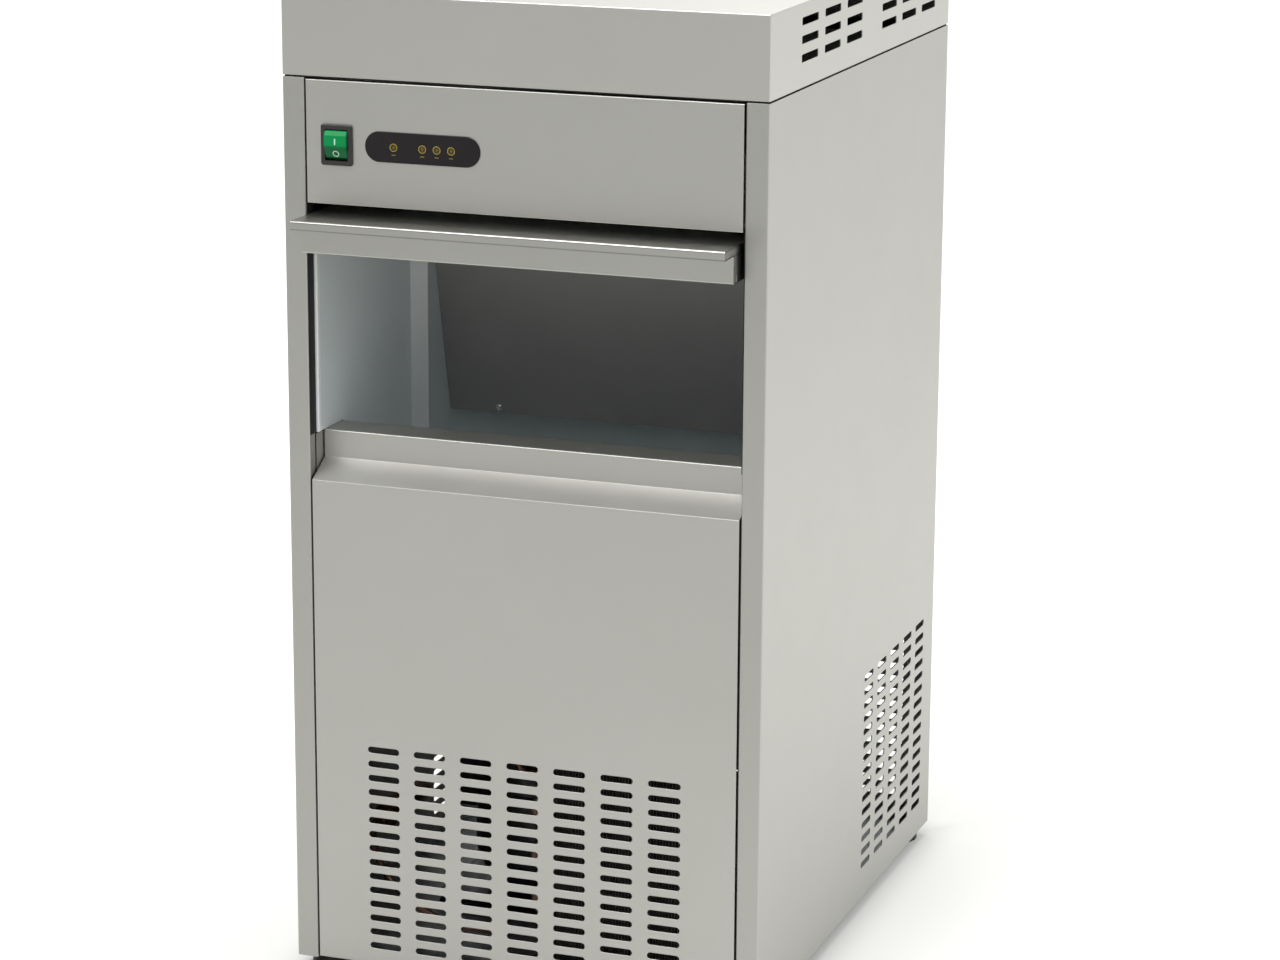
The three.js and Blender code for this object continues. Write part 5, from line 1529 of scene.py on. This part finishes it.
inks = {
    "olive_print": ((150, 132, 48), (178, 158, 66), 0.35, 0.1, 1500.0),
    "brown_rims": ((58, 48, 26), (76, 64, 34), 0.35, 0.1, 1500.0),
    "lamp_lens": ((96, 84, 34), (120, 106, 46), 0.12, 0.08, 900.0),
}
for name, (*tones, grain) in inks.items():
    draw = even(*tones, cloud=(500.0,), grain=(grain,), bump=(0.03, 0.0001))
    inks[name] = surface("lamp_lens", draw, name)
lens_radius = 0.0014
rim_radius = lens_radius + 0.00005
rim_depth = 0.004
printed_inner, printed_outer = 0.0026, 0.0032
tick_half = 0.0016
tick_height = 0.0004
tick_top = window_z - 0.0056
print_front, print_back = window_low.y - 0.00004, window_low.y + 0.00004
for i, (x, (low, high)) in enumerate(zip(lamp_places, lamp_boxes), 1):
    radius = (high.x - low.x) / 2
    centre = (x, 0, window_z)
    lens = softened([
        (0, low.y + 0.0002), (0.3 * lens_radius, low.y + 0.0002),
        (lens_radius, low.y + 0.0007, 0.0005), (lens_radius, high.y), (0, high.y),
    ])
    shape = turned(lens, centre, "Y", sides=32)
    put(f"lamp_lens_{i}", shape, inks["lamp_lens"], node=f"indicator_lamp_{i}")
    rim = softened([
        (rim_radius, low.y, 0.0002), (radius, low.y, 0.0002), (radius, low.y + rim_depth),
        (rim_radius, low.y + rim_depth),
    ], steps=4, closed=True)
    put(f"lamp_rim_{i}", turned(rim, centre, "Y", sides=32), inks["brown_rims"])
    ring = rod(printed_outer, print_front, print_back, centre, "Y", sides=40, inner=printed_inner)
    put(f"lamp_ring_{i}", ring, inks["olive_print"])
    start = (x - tick_half, print_front, tick_top - tick_height)
    tick = block(start, (x + tick_half, print_back, tick_top), "Y")
    put(f"lamp_tick_{i}", tick, inks["olive_print"])

# Control box and board
# The electrics stand in an open tray of galvanised steel on the ceiling of the bin. The lamps sit
# on a circuit board that four pillars hold behind the panel.

low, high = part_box("control_box")
tray_wall = 0.0015
wall = Vector((tray_wall, tray_wall, tray_wall))
start = (low.x + tray_wall, low.y - spare, low.z + tray_wall)
inner = block(start, high - wall, "Y", radius=0.001)
shape = combined(block(low, high, "Y", radius=0.002, edge=0.0004), cut=[inner])
put("control_tray", shape, galvanised, node="control_box")


def draw_board(place):
    tracks = place.node("TexBrick", {
        "Vector": place, "Scale": 240.0, "Mortar Size": 0.06, "Color1": shade(24, 84, 50),
        "Color2": shade(30, 94, 56), "Mortar": shade(52, 124, 82),
    })
    return {
        "Base Color": tracks,
        "Roughness": 0.36 + 0.1 * place.noise(90.0),
        "Normal": place.noise(700.0).bump(0.05, 0.0001),
    }


low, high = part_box("control_board")
dressed("lamp_board", "control_board", surface("board_green", draw_board), edge=0.0002)
relay_shares = (0.18, 0.34)
relay_size = (0.010, 0.016)
relay_depth = 0.006
relay_z = (low.z + high.z) / 2
for i, share in enumerate(relay_shares, 1):
    outline = slot(low.x + share * (high.x - low.x), relay_z, *relay_size, radius=0.0006)
    shape = sweep(outline, "Y", high.y, high.y + relay_depth, edge=0.0004)
    put(f"board_relay_{i}", shape, black_plastic)
connector_far, connector_near = 0.030, 0.008
connector_foot, connector_top = 0.004, 0.010
start = (high.x - connector_far, high.y, low.z + connector_foot)
end = (high.x - connector_near, high.y + relay_depth, low.z + connector_top)
put("board_connector", block(start, end, "Y", radius=0.0004, edge=0.0003), white_plastic)
can_shares = (0.5, 0.6, 0.7)
can_height_share = 0.7
can_radius = 0.0028
can_top = high.y + 0.0075
can = [(0, high.y), (can_radius, high.y), (can_radius, can_top, 0.0006), (0, can_top)]
can = softened(can, steps=4)
for i, share in enumerate(can_shares, 1):
    can_z = low.z + can_height_share * (high.z - low.z)
    centre = (low.x + share * (high.x - low.x), 0, can_z)
    put(f"board_capacitor_{i}", turned(can, centre, "Y", sides=32), machined_steel)

# Rear panel
# A flat stainless plate inside the rear returns, with four columns of long air slots and holes
# for the water inlet, the drain and the supply cord. Six pan-head screws hold it.

low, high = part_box("rear_panel")
rear_slot_length = 0.0675
rear_slot_pitch = 0.0935
rear_slot_columns = 4
rear_slot_rows = 14
rear_slot_base = 0.0364
fitting_rows = 5
fitting_columns = 2
fitting_holes = {"water_inlet_fitting": 0.0063, "drain_outlet": 0.0093, "cable_gland": 0.0083}
holes = [
    slot(
        high.z - rear_slot_base - slot_row_pitch * row,
        rear_slot_pitch * (column - (rear_slot_columns - 1) / 2),
        slot_height, rear_slot_length, slot_round,
    )
    for column in range(rear_slot_columns)
    for row in range(fitting_rows if column < fitting_columns else 0, rear_slot_rows)
]
for node, radius in fitting_holes.items():
    centre = axle(node, "Y")
    holes.append(circle(high.z - centre.z, centre.x, radius))
shape = sheet_metal([(high.y, high.z), (high.y, low.z)], low.x, high.x, {0: holes}, side=-1)
put("rear_plate", shape, across, node="rear_panel")

cabinet_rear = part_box("right_side_panel")[1].y
screw_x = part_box("right_side_panel")[1].x - 0.0075
screw_shares = (0.03, 0.5, 0.97)
places = [(side, share) for _, side in sides for share in screw_shares]
for i, (side, share) in enumerate(places, 1):
    spot = (side * screw_x, cabinet_rear, low.z + share * (high.z - low.z))
    pan_head(f"rear_screw_{i}", spot, "Y", 1, upright)

# Rear fittings
# A brass inlet with a pipe thread, a moulded drain spigot with hose ribs, and a black cable
# gland: a nut and a dome with a rubber bore. Each goes through its hole with a flange outside.


def draw_brass(place):
    cloud = place.noise(60.0, 3.0)
    lines = place.scaled((100.0, 4000.0, 100.0)).noise(1.0)
    return {
        "Base Color": cloud.tint(shade(176, 148, 84), shade(198, 172, 104)),
        "Metallic": 1.0,
        "Roughness": 0.28 + 0.1 * cloud,
        "Normal": lines.bump(0.06, 0.0001),
    }


brass = surface("brass", draw_brass)
inlet_reach = 0.018
sheet_clearance = 0.00015
flange_gauge = 0.003
flange_radius = 0.016
flange_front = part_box("water_inlet_fitting")[1].y - inlet_reach + sheet_clearance
flange_back = flange_front + flange_gauge


def flanged(bore, stem, neck, rounding):
    """The outline of the latest fitting, from its bore along its stem to behind its flange."""
    return softened([
        (bore, low.y), (stem, low.y, 0), (stem, flange_front, 0), (flange_radius, flange_front),
        (flange_radius, flange_back), (neck, flange_back),
    ], rounding)


low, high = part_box("water_inlet_fitting")
inlet_centre = axle("water_inlet_fitting", "Y")
inlet_bore = 0.0035
inlet_stem = 0.006
mouth_bore = 0.0105
thread_crest = 0.013
inlet_thread_root = 0.012
inlet_pitch = 0.0018
inlet_mouth = 0.002
profile = flanged(inlet_bore, inlet_stem, inlet_thread_root, rounding=0.0006)
for turn in range(int((high.y - flange_back - inlet_mouth) / inlet_pitch)):
    profile.append((inlet_thread_root, flange_back + (turn + 0.6) * inlet_pitch))
    profile.append((thread_crest, flange_back + (turn + 1.1) * inlet_pitch))
profile += [
    (inlet_thread_root - 0.0002, high.y - 0.0008), (inlet_thread_root - 0.0006, high.y),
    (mouth_bore, high.y), (mouth_bore, high.y - inlet_mouth), (inlet_bore, high.y - inlet_mouth),
]
shape = turned(profile, inlet_centre, "Y", sides=64)
put("inlet_thread", shape, brass, node="water_inlet_fitting")

low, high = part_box("drain_outlet")
outlet_centre = axle("drain_outlet", "Y")
outlet_bore = 0.007
outlet_stem = 0.009
spigot_radius = 0.010
spigot_neck = 0.009
hose_ribs = 3
hose_rib = 0.0038
hose_rib_start = 0.0012
hose_rib_edge = 0.0003
hose_rib_gap = 0.0006
profile = flanged(outlet_bore, outlet_stem, spigot_neck, rounding=0.0007)
for turn in range(hose_ribs):
    foot = flange_back + hose_rib_start + turn * hose_rib
    profile += [(spigot_neck, foot), (spigot_radius, foot + hose_rib_edge)]
    profile.append((spigot_neck, foot + hose_rib - hose_rib_gap))
profile += [(spigot_neck, high.y - 0.0005), (spigot_neck - 0.0004, high.y), (outlet_bore, high.y)]
shape = turned(profile, outlet_centre, "Y", sides=64)
put("drain_spigot", shape, white_plastic, node="drain_outlet")

low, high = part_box("cable_gland")
gland_bore = 0.0045
gland_stem = 0.008
gland_nut = 0.012
gland_dome = 0.008
nut_end = flange_front + 0.008
hexagon_share = 1.06


def hexagon(angle, radius, height):
    """A six-sided nut, whose corners are cut back to the turned outline."""
    if radius < 0.95 * gland_nut or height > nut_end + 0.0001:
        return 1
    turn = (angle + math.pi / 6) % (math.pi / 3) - math.pi / 6
    return min(1.0, math.cos(math.pi / 6) / math.cos(turn) * hexagon_share)


profile = [
    (gland_bore, low.y), (gland_stem, low.y), (gland_stem, flange_front),
    (0.96 * gland_nut, flange_front), (gland_nut, flange_front + 0.0006),
    (gland_nut, nut_end - 0.0006), (0.96 * gland_nut, nut_end), (gland_dome + 0.0016, nut_end),
]
profile += softened([
    (gland_dome + 0.0014, nut_end + 0.001), (gland_dome + 0.0012, high.y - 0.002),
    (gland_dome - 0.001, high.y), (gland_bore, high.y),
], 0.0018)
shape = turned(profile, axle("cable_gland", "Y"), "Y", sides=96, wobble=hexagon)
put("gland_nut", shape, black_plastic, node="cable_gland")

# Water tank, float and hoses
# A moulded open tank hangs on the rear panel. The brass valve on the inlet fills it until the
# float on its hinged arm shuts it. A tube feeds the barrel, and a ribbed hose drains the bin.

low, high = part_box("water_reservoir")
tank_wall = 0.003
tank_step = 0.0012
tank_rim = 0.006
tank_round = 0.008
inlet_hole = 0.0063
shape = combined(
    taken_in(tank_step, low.z, high.z - tank_rim / 2, tank_round, edge=0.0012),
    [taken_in(0, high.z - tank_rim, high.z, tank_round, edge=0.0008)],
    [
        taken_in(tank_wall, low.z + tank_wall, high.z + spare, tank_round),
        rod(inlet_hole, high.y - 2 * tank_wall, high.y + spare, inlet_centre, "Y", sides=40),
    ],
)
put("tank_moulding", shape, white_plastic, node="water_reservoir")
tank_base = low.z
tank_middle_y = (low.y + high.y) / 2

low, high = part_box("float_valve")
dressed("valve_body", "float_valve", brass, edge=0.0006)
float_pin = 0.002
fork_half = 0.009
pin_inset = 0.005
pin_y = low.y + pin_inset
arm_length = 0.036
arm_half = (0.004, 0.0025)
float_radius = 0.017
float_drop = 0.024
float_base = -arm_half[1] - float_drop
float_top = -arm_half[1] / 2
float_hang = math.radians(25)
start = (-arm_half[0], -arm_length, -arm_half[1])
shape = block(start, (arm_half[0], float_pin, arm_half[1]), "X", radius=0.001, edge=0.0005)
rod(float_pin, -fork_half, fork_half, (0, 0, 0), "X", sides=24, shape=shape)
profile = softened([
    (0, float_base), (float_radius, float_base, 0.004), (float_radius, float_top, 0.003),
    (0, float_top),
])
turned(profile, (0, -arm_length, 0), shape=shape)
inlet_x, inlet_z = inlet_centre.xz
place = Matrix.Translation((inlet_x, pin_y, inlet_z)) @ Matrix.Rotation(float_hang, 4, "X")
bmesh.ops.transform(shape, matrix=place, verts=shape.verts)
put("float_ball", shape, white_plastic, "float", "float_arm")

feed_radius = 0.005
feed_port = barrel_floor + 2 * feed_radius
route = evenly(smooth([
    (inlet_x, tank_middle_y, tank_base - gap), (inlet_x, tank_middle_y, tank_base - 2 * bend),
    (inlet_x, tank_middle_y, (tank_base + feed_port) / 2),
    ((inlet_x + barrel_side) / 2, (tank_middle_y + machine_y) / 2, feed_port + feed_radius),
    (barrel_side - straight, machine_y, feed_port), (barrel_side, machine_y, feed_port),
]), tube_spacing)
put("feed_hose", pipe(route, feed_radius), white_plastic, node="water_feed_tube")

hose_radius = 0.010
hose_rib_pitch = 0.004
hose_rib_depth = 0.0011
drain_centre = axle("drain_fitting")
drain_x, drain_y = drain_centre.xy
drain_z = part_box("drain_fitting")[0].z
outlet_x, outlet_z = outlet_centre.xz
hose_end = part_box("drain_outlet")[0].y - gap
route = evenly(smooth([
    (drain_x, drain_y, drain_z - gap), (drain_x, drain_y, drain_z - 2 * straight),
    (drain_x, drain_y + bend, (drain_z + outlet_z) / 2),
    (drain_x, (drain_y + cabinet_rear) / 2, outlet_z + hose_radius),
    (outlet_x, hose_end - 2 * bend, outlet_z), (outlet_x, hose_end - straight, outlet_z),
    (outlet_x, hose_end, outlet_z),
]), hose_rib_pitch / 6)


def ribbed(run):
    return hose_radius - hose_rib_depth * (1 - math.cos(2 * math.pi * run / hose_rib_pitch)) / 2


put("ribbed_hose", pipe(route, ribbed, 24), white_plastic, node="drain_hose")

# Ice deflector, ceiling, chute and drain of the bin
# The grey deflector leans back over the whole width of the bin and is screwed at its lower
# corners. The ceiling plate, the square chute and the drain are white plastic.

dressed("deflector_plate", "ice_deflector", grey_plastic, edge=0.0003)
deflector_front = 0.0423
deflector_run, deflector_rise = 0.0526, 0.228
deflector_lean = math.atan2(deflector_run, deflector_rise)
deflector_screw_x, screw_rise = 0.1334, 0.0052
screw_y = deflector_front - screw_rise * math.tan(deflector_lean)
screw_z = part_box("ice_deflector")[0].z + screw_rise
for name, side in sides:
    spot = (side * deflector_screw_x, screw_y, screw_z)
    screw = "deflector_screw_" + name
    pan_head(screw, spot, "Y", -1, bright_zinc, radius=0.0032, lean=deflector_lean)
dressed("ceiling_plate", "bin_ceiling", liner_plastic, edge=0.0005)
dressed("probe_bulb", "ice_level_probe", copper, edge=0.0006)
dressed("chute_duct", "ice_chute", white_plastic, edge=0.0006)
low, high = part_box("drain_fitting")
drain_bore = 0.008
drain_stem = 0.011
drain_rim = 0.020
drain_rim_gauge = 0.002
rim_base = high.z - drain_rim_gauge
profile = softened([
    (drain_bore, low.z), (drain_stem, low.z), (drain_stem, rim_base), (drain_rim, rim_base, 0.0003),
    (drain_rim - 0.0015, high.z, 0.0005), (drain_bore, high.z, 0.0008),
], closed=True)
put("drain_flange", turned(profile, drain_centre, sides=64), white_plastic, node="drain_fitting")

# Floor and light
# A pale floor that runs out to white and a pale studio that is greyer low in front of the
# cabinet. One large soft lamp hangs high in front of it and a weaker one behind.


half_width, half_depth = 0.2, 0.27


def pale_floor():
    finish = bpy.data.materials.new("floor")
    finish.use_nodes = True
    tree = finish.node_tree
    tree.nodes.clear()
    rays = tree.nodes.new("ShaderNodeLightPath")
    seen = Wire(tree, rays.outputs["Is Camera Ray"]) + Wire(tree, rays.outputs["Is Glossy Ray"])
    seen = seen + Wire(tree, rays.outputs["Is Transmission Ray"])
    place = Wire(tree, tree.nodes.new("ShaderNodeTexCoord").outputs["Object"])
    colour = place.noise(0.6).tint(shade(200, 201, 198), shade(204, 205, 202))
    diffuse = colour.node("BsdfDiffuse", {"Color": colour})
    side, depth = place.along("X"), place.along("Y")
    apart = place.math("SQRT", side * side + depth * depth)
    outside = place.math("MAXIMUM", abs(side) - half_width, abs(depth) - half_depth)
    slanted = depth + 0.5 * side
    # The emission is low beside the cabinet and rises away from its footprint: painted light on the
    # floor that narrows and sharpens the cabinet's shadow.
    front_painted_light = 0.17 * outside.spread(0.0, 0.3)
    near_painted_light = 0.28 * (outside.spread(-0.03, 0.035) * slanted.spread(-0.9, -0.1))
    behind = slanted.spread(-1.0, 0.3)
    far_lift = 0.1 * behind + 0.14 * (apart.spread(0.3, 1.3) * behind)
    strength = (0.02 + front_painted_light + near_painted_light + far_lift) * seen
    lift = seen.node("Emission", {"Color": shade(255, 255, 252), "Strength": strength})
    both = lift.node("AddShader", {0: diffuse, 1: lift})
    both.node("OutputMaterial", {"Surface": both})
    return finish


floor_reach = 30.0
floor_shape = bmesh.new()
bmesh.ops.create_grid(floor_shape, x_segments=8, y_segments=8, size=floor_reach)
floor_mesh = bpy.data.meshes.new("floor")
floor_shape.to_mesh(floor_mesh)
floor_shape.free()
floor_mesh.materials.append(pale_floor())
floor = bpy.data.objects.new("floor", floor_mesh)
bpy.context.collection.objects.link(floor)

world = bpy.data.worlds.new("studio")
bpy.context.scene.world = world
world.use_nodes = True
tree = world.node_tree
tree.nodes.clear()
direction = Wire(tree, tree.nodes.new("ShaderNodeTexCoord").outputs["Generated"])
side, depth, height = (direction.along(axis) for axis in "XYZ")
openness = (depth * 0.75 + side * 0.5 + height * 0.35).spread(-0.6, 0.5)
sky = openness.tint(shade(144, 144, 143), shade(255, 255, 255))
background = sky.node("Background", {"Color": sky, "Strength": 1.0})
background.node("OutputWorld", {"Surface": background})

cabinet_middle = Vector((0.0, 0.0, 0.45))
for name, place, size, energy in (
    ("front_lamp", (-0.5, -1.7, 3.1), 2.0, 80.0), ("rear_lamp", (0.0, 1.8, 2.5), 1.5, 14.0),
):
    lamp_data = bpy.data.lights.new(name, "AREA")
    lamp_data.shape = "SQUARE"
    lamp_data.size = size
    lamp_data.energy = energy
    lamp = bpy.data.objects.new(name, lamp_data)
    lamp.location = place
    lamp.rotation_euler = (cabinet_middle - lamp.location).to_track_quat("-Z", "Y").to_euler()
    bpy.context.collection.objects.link(lamp)

bpy.context.scene.view_settings.view_transform = "Standard"
